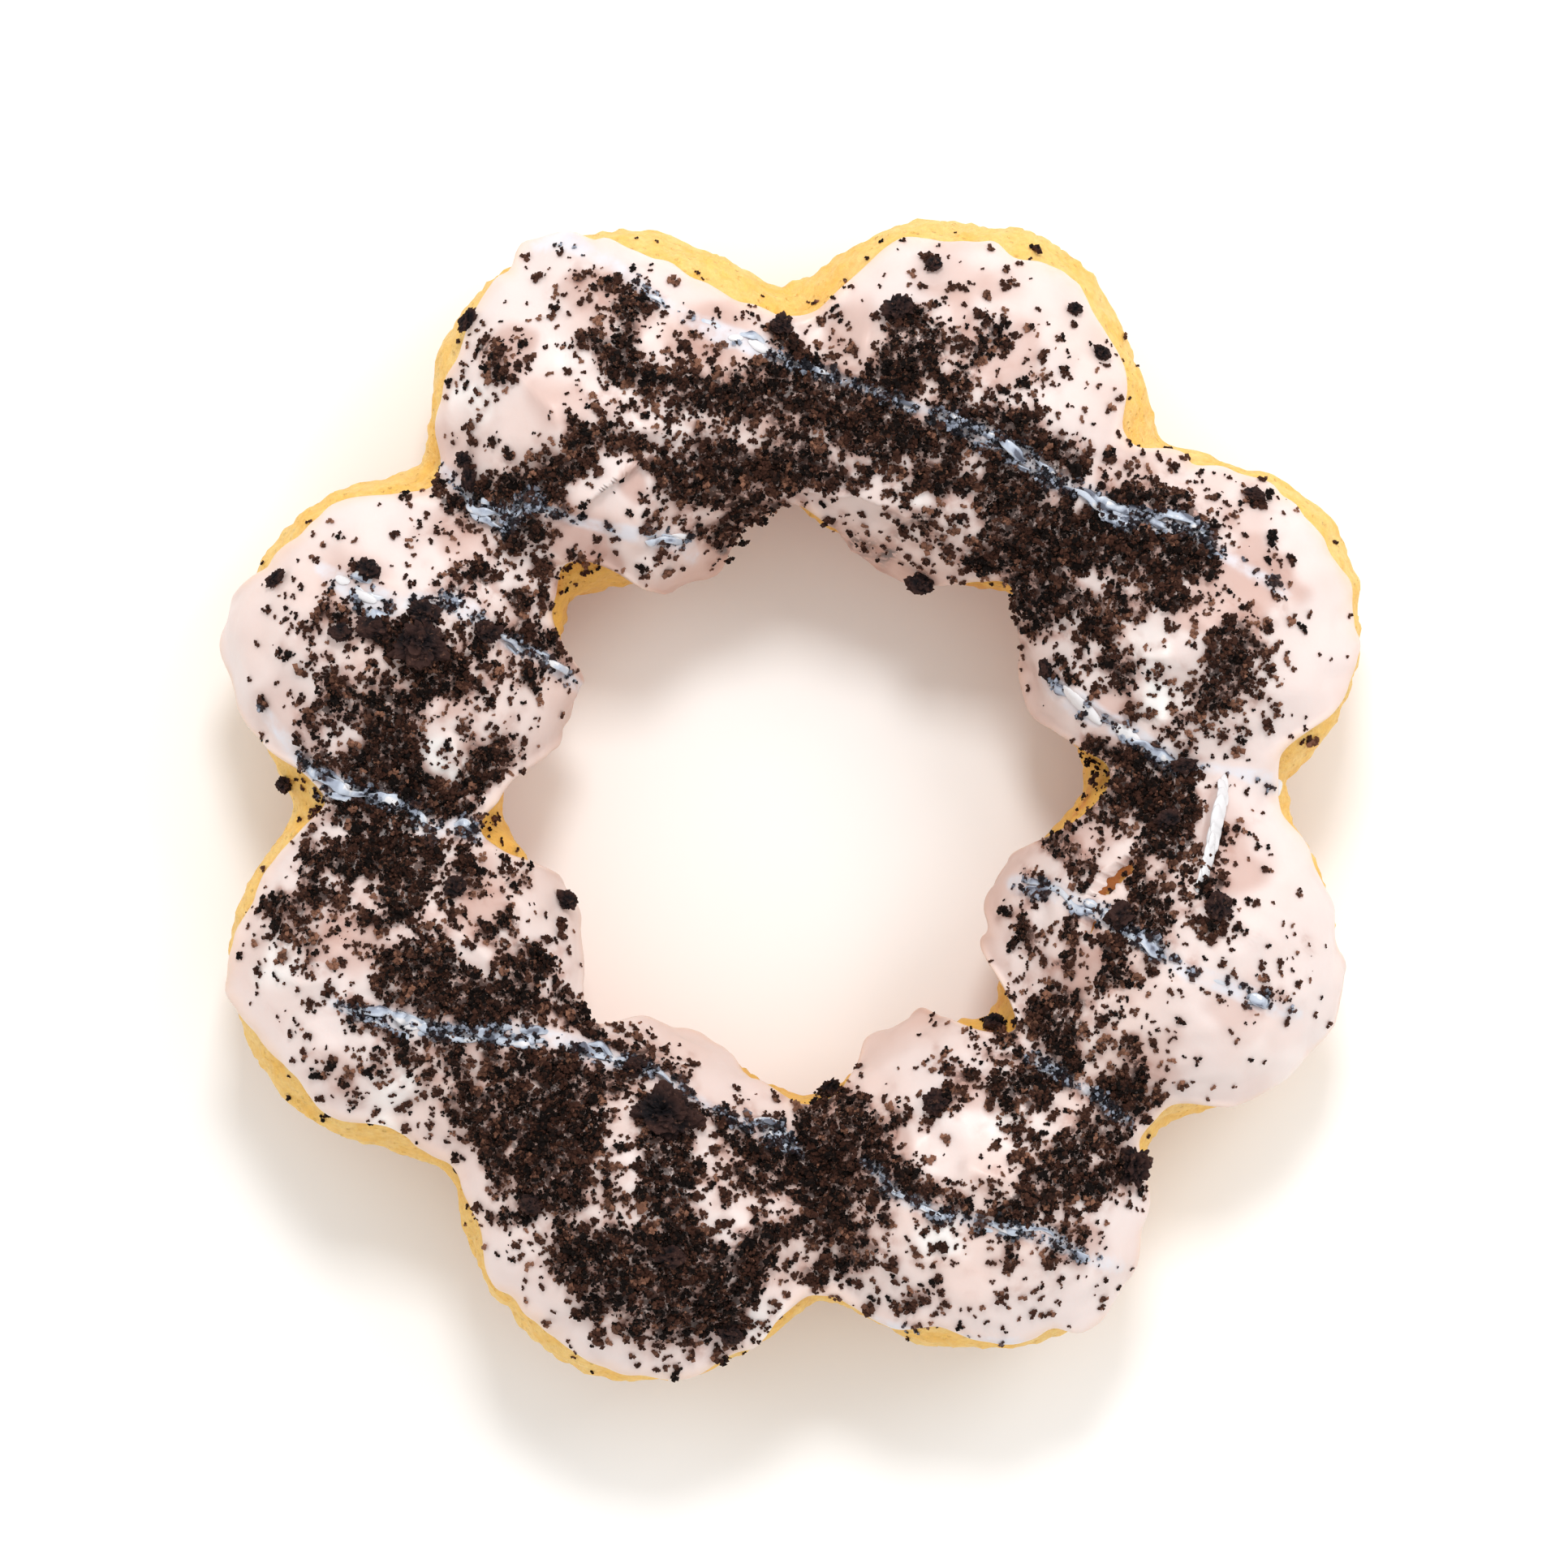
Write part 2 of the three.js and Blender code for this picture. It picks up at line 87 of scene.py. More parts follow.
DOUGH_BLEND = 2.4  # how softly the balls run into each other
DOUGH_AROUND = 920  # sections round the ring
DOUGH_ACROSS = 106  # points round each section
DOUGH_RELIEF = [(0.28, 5.0, 1), (0.16, 1.7, 2), (0.17, 0.75, 3)]
DOUGH_SET_BACK = 0.1  # how far the skin with that relief lies under the one without
SECTION_CROWDING = 0.22  # how much closer a section's points lie near its top and its bottom
SECTION_TURN = 0.35
SPLIT_BROWNING = 2.2  # how much wider than a split the crust under it is browned
RIM_REACH = (24.0, 34.0)  # reach over which the dough goes from the golden inside to the pale outside

ICING_BLEND = 3.0
ICING_RISE = 1.15  # height of the icing over the dough
ICING_WAVES = [(0.45, 7.0, 41), (0.26, 3.0, 42), (0.06, 1.2, 43)]
ICING_SINK = 0.25  # how far the icing's underside lies inside the dough
ICING_HOLLOW = 0.35  # how much farther it does so away from its edges
ICING_LIP = 1.25  # width over which the icing rounds down to its edge
LIP_BEAD = 0.12  # share by which the icing is thicker just inside that lip
BEAD_PLACE = (1.1, 0.6)  # the bead's middle and its half width, in widths of the lip
SPLIT_DROP = 0.5  # how far a split drops below the dough's skin
ICING_AROUND = 780
ICING_ACROSS = 108
ICING_UNDER = 12  # points across its underside
EDGE_CROWDING = 0.105  # how much closer a section's points lie near the icing's edges
OUTER_CIRCLE, INNER_CIRCLE = 38.0, 19.0  # radii along which the noise of the icing's edges is read
OUTER_WOBBLE = [(4.5, 5.5, 31), (2.4, 2.4, 32), (0.9, 1.2, 35)]  # layers of noise, in degrees
INNER_WOBBLE = [(5.0, 4.0, 33), (2.5, 1.8, 34)]
# The icing nearer to the middle and lower than this gets warm shade painted on it, which fades in over so
# many mm.
PAINTED_SHADE_REACH, PAINTED_SHADE_REACH_FADE = 27.0, 5.0
PAINTED_SHADE_HEIGHT, PAINTED_SHADE_HEIGHT_FADE = 20.0, 6.0
# How much shade is painted on it round the ring: pairs of the angle and the share, most where the inside
# faces away from the light.
PAINTED_SHADE_SIDES = np.array([
    [0, 0.5], [40, 0.7], [70, 1.0], [140, 1.0], [172, 0.45], [205, 0.3], [240, 0.2], [285, 0.3],
    [312, 0.95], [338, 0.7],
])
EDGE_TINT = 2.6  # width over which the thin edge lets the dough show through

# Where the icing stops: pairs of the angle round the ring and the angle round the tube above the equator.
OUTER_EDGE = np.array([
    [5, 52], [11, 28], [17, 29], [24, 26], [32, 21], [37, 25], [41, 38], [46, 58], [55, 37], [63, 33],
    [70, 27], [76, 32], [90, 58], [104, 38], [109, 28], [112.5, 10], [115.5, 13], [118.5, 21], [124, 20],
    [131, 33], [138, 52], [147, 28], [156, 20], [163, 6], [170, 8], [180, 58], [190, 30], [200, 22],
    [209, 38], [225, 44], [233, 41], [239, 27], [250, 22], [260, 26], [272, 52], [282, 32], [292, 22],
    [304, 6], [311, 26], [316, 52], [321, 50], [327, 20], [340, -2], [348, 20], [354, 34], [359, 42],
], float)
INNER_EDGE = np.array([
    [3, 40], [24, -6], [46, 36], [68, -8], [89, 30], [114, -10], [135, 48], [159, -6], [184, 40],
    [204, -6], [227, 28], [250, -12], [271, 38], [295, -8], [314, 48], [325, 14], [339, -12],
], float)

# Folds of the icing: height of the crest, width of the slope on its left and on its right, and the photo
# pixels of the crest in the order of someone who walks along it. A fold below zero is a furrow.
FOLDS = [
    (1.35, 2.1, 0.50, [(690, 642), (730, 608), (770, 580), (808, 556)]),
    (1.20, 3.6, 4.4, [(590, 436), (640, 470), (684, 512), (704, 560)]),
    (-0.70, 3.0, 3.0, [(612, 566), (660, 580), (700, 590)]),
    (0.80, 2.0, 0.45, [(866, 598), (930, 606), (1000, 596), (1060, 606), (1134, 642)]),
    (0.80, 0.95, 0.45, [(1474, 1090), (1488, 1048), (1499, 1006), (1509, 960)]),
    (0.70, 2.2, 0.80, [(1338, 1306), (1352, 1256), (1376, 1206), (1412, 1168), (1440, 1152)]),
    (0.45, 1.8, 0.60, [(1310, 836), (1350, 870), (1400, 902)]),
    (0.40, 1.8, 0.80, [(560, 1140), (600, 1180), (654, 1220)]),
    (0.70, 1.3, 1.3, [(552, 900), (556, 940), (566, 960)]),
    (0.75, 1.8, 1.8, [(1180, 1430), (1210, 1444), (1240, 1452)]),
    (0.40, 2.0, 0.60, [(1040, 690), (1080, 660), (1140, 630)]),
    (0.70, 1.6, 1.6, [(770, 528), (810, 530), (846, 532)]),
    (0.35, 1.8, 0.60, [(1060, 440), (1070, 400), (1100, 370)]),
    (0.80, 2.0, 2.0, [(1396, 806), (1424, 810), (1446, 808)]),
    (0.40, 1.5, 1.5, [(1420, 884), (1440, 888)]),
    (0.45, 1.6, 1.6, [(604, 754), (624, 770), (640, 778)]),
    (0.40, 1.6, 1.6, [(1304, 1384), (1330, 1388)]),
    (0.40, 2.4, 0.70, [(840, 660), (800, 690), (760, 712)]),
    (-0.35, 1.6, 1.6, [(1236, 1172), (1270, 1140), (1290, 1110)]),
    (-0.40, 2.2, 2.2, [(420, 1216), (470, 1230), (520, 1236)]),
    (0.45, 2.6, 1.4, [(330, 1190), (370, 1210), (420, 1204)]),
    (0.40, 3.0, 1.6, [(1560, 1130), (1530, 1170), (1500, 1180)]),
    (-0.40, 2.6, 2.6, [(1180, 392), (1220, 420), (1260, 430)]),
    (0.40, 3.0, 1.6, [(1300, 420), (1350, 460), (1390, 500)]),
    (0.40, 2.6, 1.2, [(860, 1420), (900, 1400), (940, 1400)]),
    (-0.40, 2.4, 2.4, [(660, 1510), (640, 1480), (600, 1440)]),
]
FOLD_SHARPNESS = 1.5  # over 1, the slopes ease out at their feet and meet sharply at the crest
FOLD_FADE = 0.3  # share of a fold's length over which it sinks towards each end
FOLD_END = 0.2  # how far into that fade its very ends are

# Places where the icing is thin and has shade painted on it, and so darker, or where the strength is below
# zero
# white with a painted highlight: photo pixel, half width in pixels, strength.
THIN_ICING_AND_PAINTED_LIGHT_PLACES = [
    (716, 664, 46, 1.0), (735, 690, 36, 0.9), (1180, 386, 30, 0.7), (1246, 436, 44, 0.7),
    (1176, 340, 44, 0.5), (562, 664, 38, 0.8), (880, 420, 50, 0.8), (730, 374, 42, 0.7),
    (632, 436, 28, 0.9), (696, 496, 42, 0.6), (550, 552, 40, 0.5), (1545, 710, 52, 1.0),
    (1486, 744, 42, 0.9), (1360, 880, 36, 0.7), (1514, 1060, 40, 0.8), (1545, 640, 40, 0.5),
    (1420, 1310, 40, 0.7), (1190, 1346, 28, 0.9), (590, 1104, 42, 0.8), (436, 1150, 44, 0.8),
    (1300, 1190, 36, 0.5), (560, 868, 26, 0.8), (776, 592, 20, 0.9), (350, 870, 40, 0.5),
    (1380, 582, 40, 0.6), (1500, 600, 30, 0.4), (430, 720, 40, 0.5), (1340, 1530, 30, 0.7),
    (1104, 1420, 36, 0.7), (1052, 410, 34, 0.6), (1230, 350, 36, 0.4), (1340, 1040, 34, 0.7),
    (1336, 1200, 26, 0.8), (420, 1320, 34, 0.6), (950, 1560, 34, 0.5), (1520, 1230, 36, 0.5),
    (740, 1460, 30, 0.4), (1500, 1000, 34, 0.5), (578, 500, 24, -0.7), (1436, 862, 24, -1.0),
    (548, 934, 24, -1.0), (1156, 1524, 30, -0.8), (348, 1196, 36, -0.7), (484, 1342, 30, -0.7),
    (470, 1400, 26, -0.6), (700, 446, 28, -0.6), (860, 506, 30, -0.6), (1420, 800, 26, -0.5),
    (1120, 612, 26, -0.6), (940, 1620, 34, -0.5), (1590, 1320, 50, -0.4), (1240, 1380, 30, -0.5),
]

THIN_AND_PAINTED_LIGHT_RAGGED = [(0.3, 2.0, 22)]
THIN_AND_PAINTED_LIGHT_FADE = 1.5  # half widths from the middle to where a thin, painted place has faded out

# The splits of the icing that bare browned crust: photo pixel, half length, half width, turn.
SPLITS = [(1367, 1080, 2.5, 0.74, 40), (1336, 1139, 1.0, 0.5, 60)]
SPLIT_RAGGED = [(0.25, 0.5, 21)]
SPLIT_BANK = 0.5  # share of a split's depth that its sloping banks take up
SPLIT_MARGIN = 1.2  # how much wider than a split the patch without crumbs is

# Trails of crumbs: the share of the surface that they hide, and photo pixels with the half width there.
TRAILS = [
    (0.80, [(772, 385, 18), (764, 420, 26), (764, 446, 24)]),
    (0.72, [(722, 420, 16), (765, 446, 24), (806, 466, 18), (850, 482, 22)]),
    (0.97, [(850, 485, 24), (900, 485, 24), (950, 472, 34), (1000, 480, 38), (1050, 495, 38),
            (1100, 510, 32)]),
    (0.95, [(965, 414, 18), (968, 450, 28)]),
    (0.93, [(1080, 526, 24), (1134, 542, 26), (1172, 530, 30), (1188, 512, 14)]),
    (0.98, [(1124, 394, 24), (1124, 430, 43), (1090, 482, 28)]),
    (0.70, [(1178, 412, 14), (1194, 450, 14), (1160, 498, 22)]),
    (0.20, [(1150, 480, 26), (1190, 462, 16)]), (0.70, [(1204, 408, 14), (1218, 420, 20)]),
    (0.97, [(826, 580, 22), (876, 576, 30), (940, 574, 24), (978, 566, 26), (1040, 590, 14)]),
    (0.90, [(836, 598, 20), (890, 612, 20), (936, 634, 26), (890, 660, 18)]),
    (0.60, [(1064, 566, 16), (1100, 552, 24)]),
    (0.90, [(1122, 586, 12), (1146, 586, 20), (1164, 584, 12)]),
    (0.92, [(714, 542, 20), (760, 548, 16), (796, 550, 12)]),
    (0.96, [(722, 564, 12), (686, 586, 26), (650, 612, 31), (606, 602, 18)]),
    (0.80, [(560, 616, 16), (610, 622, 18), (632, 656, 18)]), (0.62, [(690, 702, 18), (736, 690, 12)]),
    (0.86, [(604, 702, 10), (560, 722, 20), (532, 744, 18)]), (0.45, [(450, 712, 18), (430, 748, 14)]),
    (0.74, [(425, 752, 18), (386, 776, 14)]),
    (0.95, [(468, 778, 22), (514, 790, 26), (540, 820, 36), (568, 840, 22)]),
    (0.76, [(640, 744, 10), (640, 790, 14), (680, 798, 26), (650, 828, 18)]),
    (0.80, [(412, 842, 16), (420, 866, 26), (440, 880, 16)]),
    (0.97, [(484, 876, 34), (482, 920, 40), (480, 962, 46), (530, 990, 22), (574, 988, 16)]),
    (0.95, [(578, 984, 16), (600, 946, 20), (628, 930, 14)]), (0.85, [(388, 940, 18), (428, 946, 22)]),
    (0.80, [(586, 1020, 15), (572, 1040, 13), (582, 1098, 14)]),
    (0.97, [(500, 1006, 24), (480, 1040, 36), (424, 1062, 22), (510, 1056, 34), (494, 1100, 28),
            (488, 1126, 12)]),
    (0.85, [(388, 1062, 18), (384, 1102, 22)]), (0.74, [(348, 1114, 20), (386, 1166, 20)]),
    (0.60, [(450, 1130, 12), (486, 1132, 12)]),
    (0.96, [(520, 1156, 16), (496, 1190, 22), (540, 1208, 40), (600, 1236, 32), (642, 1228, 22),
            (654, 1180, 22)]),
    (0.84, [(674, 1238, 10), (696, 1246, 14)]), (0.62, [(604, 1150, 12), (622, 1132, 16)]),
    (0.72, [(430, 1244, 16), (466, 1262, 18), (484, 1292, 18)]),
    (0.70, [(536, 1272, 18), (560, 1296, 22)]),
    (0.78, [(720, 1264, 10), (750, 1290, 10), (796, 1300, 16), (826, 1318, 16)]),
    (0.95, [(648, 1306, 22), (694, 1326, 36), (696, 1380, 56), (682, 1434, 50), (700, 1476, 22)]),
    (0.92, [(600, 1390, 18), (612, 1430, 22), (616, 1460, 14)]),
    (0.90, [(750, 1334, 20), (792, 1316, 16)]), (0.45, [(752, 1416, 16), (762, 1470, 14)]),
    (0.96, [(808, 1388, 28), (822, 1412, 36), (824, 1456, 38), (826, 1494, 22)]),
    (0.98, [(720, 1536, 30), (784, 1562, 54), (850, 1570, 60), (890, 1592, 46), (936, 1548, 18)]),
    (0.66, [(742, 1600, 22), (770, 1626, 14)]), (0.88, [(850, 1630, 16), (906, 1634, 16)]),
    (0.60, [(622, 1500, 14), (650, 1494, 16)]), (0.80, [(568, 1330, 14), (590, 1356, 18)]),
    (0.75, [(906, 1386, 16), (954, 1386, 14)]),
    (0.97, [(936, 1440, 32), (1010, 1420, 44), (1030, 1380, 46), (1060, 1430, 46), (1104, 1452, 26)]),
    (0.94, [(1104, 1450, 26), (1140, 1470, 13), (1190, 1482, 9)]),
    (0.95, [(1020, 1470, 34), (1016, 1504, 26)]),
    (0.70, [(1080, 1506, 14), (1050, 1546, 18), (1000, 1576, 12)]),
    (0.50, [(1128, 1600, 14), (1156, 1588, 12)]),
    (0.66, [(1162, 1306, 16), (1180, 1332, 18), (1160, 1358, 12)]),
    (0.86, [(1218, 1264, 12), (1240, 1268, 12)]),
    (0.97, [(1284, 1244, 22), (1306, 1272, 26), (1308, 1310, 24), (1268, 1338, 22), (1236, 1344, 14)]),
    (0.86, [(1392, 1290, 14), (1392, 1340, 22), (1352, 1386, 16), (1306, 1432, 22), (1252, 1490, 22)]),
    (0.86, [(1386, 1444, 18), (1350, 1462, 12), (1312, 1456, 14)]), (0.25, [(1350, 1420, 22)]),
    (0.60, [(1300, 1510, 16), (1320, 1540, 20)]), (0.36, [(1240, 1540, 22), (1280, 1550, 20)]),
    (0.82, [(1296, 1044, 14), (1324, 1056, 20), (1348, 1076, 12)]),
    (0.70, [(1282, 1096, 16), (1258, 1130, 14), (1268, 1162, 16)]), (0.72, [(1328, 1150, 16)]),
    (0.90, [(1360, 1160, 16), (1372, 1194, 16), (1366, 1214, 10)]),
    (0.96, [(1400, 1096, 18), (1414, 1134, 30)]), (0.92, [(1496, 1090, 14), (1496, 1118, 16)]),
    (0.62, [(1452, 1110, 12), (1478, 1100, 12)]), (0.50, [(1515, 1024, 12)]),
    (0.98, [(1362, 934, 22), (1398, 950, 42), (1444, 986, 38), (1444, 1028, 32), (1444, 1050, 14)]),
    (0.78, [(1340, 1000, 14), (1310, 1012, 10)]), (0.92, [(1462, 924, 14)]),
    (0.85, [(1364, 784, 14), (1384, 824, 14), (1392, 866, 12)]),
    (0.55, [(1296, 816, 12), (1304, 834, 12)]),
    (0.98, [(1514, 778, 24), (1512, 820, 29), (1490, 858, 22)]),
    (0.30, [(1462, 880, 14), (1480, 900, 14)]), (0.50, [(1552, 806, 16)]),
    (0.96, [(1226, 612, 18), (1250, 640, 40), (1262, 688, 36), (1292, 730, 35), (1340, 750, 16),
            (1352, 774, 12)]),
    (0.97, [(1316, 668, 30), (1380, 676, 30), (1440, 680, 26), (1476, 678, 14)]),
    (0.88, [(1190, 688, 12), (1214, 686, 16)]),
    (0.86, [(1386, 622, 14), (1420, 616, 18), (1446, 628, 10)]),
    (0.86, [(1264, 556, 36), (1312, 562, 26)]), (0.70, [(1212, 544, 22), (1230, 530, 14)]),
    (0.70, [(1396, 738, 30), (1440, 728, 22)]), (0.50, [(1280, 456, 18)]),
    (0.45, [(1545, 612, 14), (1560, 622, 10)]),
    (0.75, [(1030, 646, 16), (1062, 676, 20), (1092, 692, 16)]),
    (0.46, [(1140, 640, 12), (1150, 664, 12), (1140, 704, 14)]), (0.60, [(600, 440, 20), (614, 460, 14)]),
    (0.40, [(594, 494, 14)]), (0.46, [(574, 566, 14)]), (0.20, [(900, 416, 40), (840, 440, 26)]),
    (0.18, [(1560, 700, 40), (1580, 740, 26)]), (0.14, [(560, 800, 60)]),
    (0.22, [(1290, 1130, 60), (1310, 1180, 50)]), (0.15, [(1180, 1560, 54), (1300, 1545, 40)]),
    (0.30, [(1220, 560, 60), (1340, 600, 50), (1440, 650, 50)]),
    (0.12, [(1420, 830, 60), (1520, 880, 50)]), (0.45, [(730, 480, 12), (736, 520, 12)]),
    (0.60, [(860, 505, 14), (862, 552, 16)]), (0.80, [(964, 514, 14)]),
    (0.80, [(1016, 526, 12), (1044, 552, 13)]), (0.60, [(560, 584, 14), (578, 590, 16)]),
    (0.45, [(502, 610, 12)]), (0.80, [(560, 632, 16), (596, 640, 14)]),
    (0.80, [(640, 674, 12), (694, 624, 12)]), (0.60, [(800, 650, 12), (820, 680, 14)]),
    (0.50, [(836, 630, 12), (860, 642, 12)]), (0.66, [(926, 672, 12), (960, 640, 18), (990, 622, 10)]),
    (0.62, [(956, 604, 10), (1010, 600, 10), (1060, 598, 10)]), (0.70, [(1120, 614, 12)]),
    (0.65, [(1106, 660, 13)]), (0.70, [(1150, 660, 14), (1186, 676, 18)]),
    (0.95, [(1226, 594, 16), (1256, 598, 20), (1298, 590, 14)]),
    (0.50, [(1190, 542, 14), (1176, 566, 12)]),
    (0.70, [(1236, 716, 14), (1262, 752, 16), (1290, 772, 14)]),
    (0.60, [(1296, 822, 14), (1310, 850, 12)]), (0.95, [(1243, 762, 13)]), (0.80, [(1340, 776, 12)]),
    (0.60, [(1350, 636, 14), (1380, 640, 14)]),
    (0.70, [(1460, 610, 14), (1482, 640, 12), (1488, 680, 14)]),
    (0.85, [(1416, 708, 14), (1460, 708, 18), (1490, 700, 12)]),
    (0.45, [(1490, 754, 12), (1550, 752, 12)]), (0.60, [(1320, 700, 14)]),
    (0.92, [(1344, 912, 11), (1356, 950, 14), (1350, 984, 18), (1372, 996, 16)]),
    (0.70, [(1406, 1044, 20), (1418, 1064, 22), (1366, 1076, 15)]),
    (0.85, [(1396, 1148, 14), (1414, 1174, 18)]), (0.65, [(1380, 1152, 12)]), (0.50, [(1514, 1008, 14)]),
    (0.50, [(1486, 1100, 12), (1490, 1150, 12), (1454, 1196, 12)]),
    (0.50, [(1310, 1236, 14), (1336, 1216, 14), (1362, 1224, 12)]),
    (0.45, [(1548, 1242, 14), (1576, 1230, 12)]), (0.30, [(1612, 1166, 12)]),
    (0.80, [(1322, 1340, 16), (1346, 1350, 20), (1372, 1330, 14)]),
    (0.80, [(1374, 1406, 12), (1392, 1382, 18), (1420, 1360, 12)]),
    (0.75, [(1250, 1372, 12), (1262, 1404, 22), (1270, 1432, 18)]),
    (0.50, [(1150, 1312, 16), (1180, 1316, 12), (1190, 1350, 10)]), (0.85, [(1100, 1384, 14)]),
    (0.70, [(1024, 1334, 14), (980, 1356, 14)]),
    (0.85, [(850, 1366, 20), (880, 1366, 14), (900, 1400, 18), (926, 1410, 12)]),
    (0.60, [(846, 1474, 14)]), (0.65, [(880, 1480, 12), (920, 1476, 14), (950, 1470, 12)]),
    (0.75, [(950, 1514, 18), (986, 1508, 20)]), (0.70, [(1040, 1530, 16), (1054, 1550, 14)]),
    (0.50, [(1100, 1540, 14), (1122, 1558, 14)]),
    (0.80, [(698, 1510, 14), (696, 1550, 18), (714, 1584, 20)]),
    (0.85, [(784, 1622, 14), (816, 1632, 24), (846, 1646, 16)]), (0.45, [(740, 1634, 14)]),
    (0.90, [(926, 1530, 17), (944, 1538, 13)]), (0.60, [(1042, 1578, 12)]),
    (0.35, [(946, 1622, 13), (950, 1646, 12)]), (0.75, [(560, 1356, 14), (580, 1396, 14)]),
    (0.90, [(634, 1332, 14), (632, 1394, 15)]), (0.50, [(440, 1332, 16), (468, 1316, 14)]),
    (0.22, [(396, 1330, 18), (450, 1362, 14)]),
    (0.70, [(500, 1290, 14), (526, 1302, 18), (540, 1270, 14)]),
    (0.85, [(598, 1290, 16), (606, 1312, 12)]), (0.80, [(634, 1336, 14)]),
    (0.75, [(468, 1208, 14), (500, 1236, 18)]), (0.55, [(416, 1240, 12)]),
    (0.28, [(340, 1240, 12), (380, 1276, 20)]), (0.85, [(620, 1184, 18)]),
    (0.60, [(684, 1250, 12), (676, 1226, 10), (700, 1210, 10)]), (0.45, [(760, 1280, 14)]),
    (0.55, [(360, 1172, 14), (400, 1180, 14)]), (0.40, [(340, 1142, 10), (386, 1134, 12)]),
    (0.85, [(446, 1132, 12), (482, 1132, 14)]), (0.55, [(540, 1120, 12), (536, 1160, 12)]),
    (0.70, [(556, 1098, 10)]), (0.85, [(404, 1050, 14)]),
    (0.92, [(400, 980, 16), (430, 996, 18), (444, 1010, 14)]),
    (0.75, [(382, 880, 18), (384, 904, 12), (378, 930, 16)]), (0.88, [(436, 846, 13), (476, 836, 13)]),
    (0.70, [(592, 780, 13), (586, 812, 12)]), (0.85, [(580, 926, 14), (606, 922, 12)]),
    (0.80, [(430, 968, 13)]), (0.35, [(640, 1074, 22)]), (0.50, [(356, 802, 14)]),
    (0.50, [(420, 786, 12)]), (0.40, [(340, 724, 16)]), (0.85, [(602, 794, 14)]),
    (0.50, [(586, 762, 10)]), (0.60, [(690, 720, 14), (684, 742, 12)]),
    (0.50, [(668, 846, 16), (690, 826, 14)]), (0.50, [(530, 890, 14)]), (0.60, [(576, 894, 14)]),
    (0.60, [(548, 1050, 12)]), (0.45, [(1206, 390, 12)]), (0.35, [(1234, 352, 16)]),
    (0.40, [(1026, 420, 18)]), (0.45, [(1016, 370, 12)]),
    (0.55, [(714, 338, 16), (742, 352, 20), (774, 372, 20)]), (0.65, [(806, 380, 18)]),
    (0.60, [(815, 445, 14)]), (0.50, [(775, 500, 12), (780, 530, 12)]), (0.35, [(655, 448, 16)]),
    (0.25, [(1356, 440, 12)]), (0.32, [(1120, 1650, 14), (1180, 1650, 14), (1226, 1648, 10)]),
    (0.45, [(1340, 1560, 16)]), (0.65, [(1312, 1478, 12)]), (0.65, [(1386, 1472, 14)]),
    (0.80, [(1366, 1414, 12), (1408, 1430, 12)]), (0.60, [(1335, 1370, 12)]),
    (0.75, [(1228, 1506, 16), (1268, 1520, 12)]), (0.65, [(1140, 1494, 14), (1166, 1490, 12)]),
    (0.65, [(1240, 1290, 14), (1250, 1322, 14)]), (0.65, [(1150, 1374, 12), (1176, 1362, 12)]),
]
TRAIL_SOFTNESS = 15.0  # pixels over which a trail fades out
HALO_REACH = 62.0  # pixels from a trail to which its crumbs have strayed
HALO_SHARE = 0.12  # cover beside a trail, as a share of the trail's own
LOOSE_COVER = 0.03  # share hidden by stray crumbs anywhere on the icing
FULL_COVER = 0.885
COVER_PATCHES = [(0.25, 2.6, 11), (0.45, 1.3, 12), (0.5, 0.8, 13)]
COVER_PATCHINESS = 1.8  # how ragged those layers make the trails
COVER_CELL = 0.25  # size of the squares that crumbs are drawn for
COVER_GRID = 47.0  # half the width of the square that they fill
TOPPED_REACH = (15.0, 48.0)  # least and most distance from the middle at which crumbs lie
RAY_HEIGHT = 60.0  # height from which the icing under a topping is looked for
LOWEST_TOPPING = 2.0  # nothing lies lower than this

# The crumbs big enough to be picked out one by one: photo pixel, width, length over width, turn.
LUMPS = [
    (1110, 385, 2.2, 1.1, 20), (515, 795, 3.3, 1.2, -20), (818, 1380, 4.0, 1.2, -10),
    (1155, 1360, 1.7, 1.1, 0), (1390, 1438, 2.7, 1.1, 40), (560, 1095, 1.7, 1.1, 30),
    (1245, 1033, 1.3, 2.0, 32), (1140, 710, 1.8, 1.2, 10), (580, 396, 1.4, 1.9, 55),
    (343, 716, 1.2, 1.8, 35), (456, 705, 1.8, 1.2, -30), (1545, 614, 1.2, 1.8, -20),
    (1354, 438, 1.2, 1.3, 0), (692, 1112, 1.5, 1.1, 0), (353, 966, 1.2, 1.2, 0),
    (466, 776, 2.0, 1.4, -10), (524, 760, 2.2, 1.4, -25), (598, 778, 1.8, 1.3, -15),
    (424, 778, 1.5, 1.2, 0), (962, 402, 1.6, 1.1, 0), (582, 590, 1.5, 1.6, 80), (1460, 940, 1.5, 1.7, -5),
    (1294, 826, 1.3, 1.6, -60), (576, 566, 1.2, 1.2, 0), (1322, 384, 1.0, 1.2, 0),
    (826, 1545, 1.8, 1.2, 0), (1230, 1264, 1.5, 1.4, -20), (1150, 330, 1.2, 1.3, 10),
    (1380, 1130, 1.8, 1.2, 30), (1026, 1350, 1.5, 1.2, 0), (780, 1320, 1.6, 1.3, 15),
    (1500, 1118, 1.9, 1.2, 80), (1440, 1016, 1.6, 1.2, 0), (660, 1480, 1.5, 1.2, 0),
    (900, 1640, 1.6, 1.3, -30),
]
LUMP_FLATNESS = 0.46
LUMP_ROUGHNESS = [(0.2, 0.7, 51), (0.18, 0.35, 52)]
LUMP_CHIPS = [(0.16, 0.16, 53), (0.1, 0.09, 54)]
LUMP_SHADES = (0.2, 0.8, 0.6)  # the usual shade, how much paler its knobs are, and the palest
LUMP_WETNESS = 0.45
LUMP_RISE = 0.3  # how high a large crumb sits over the icing, on the smaller ones under it
LUMP_SEAT = 0.3  # and how high its middle lies over that, in half widths
LARGE_LUMP = 2.4  # width over which a large crumb is made finer
SPHERE_DIVISIONS = 3

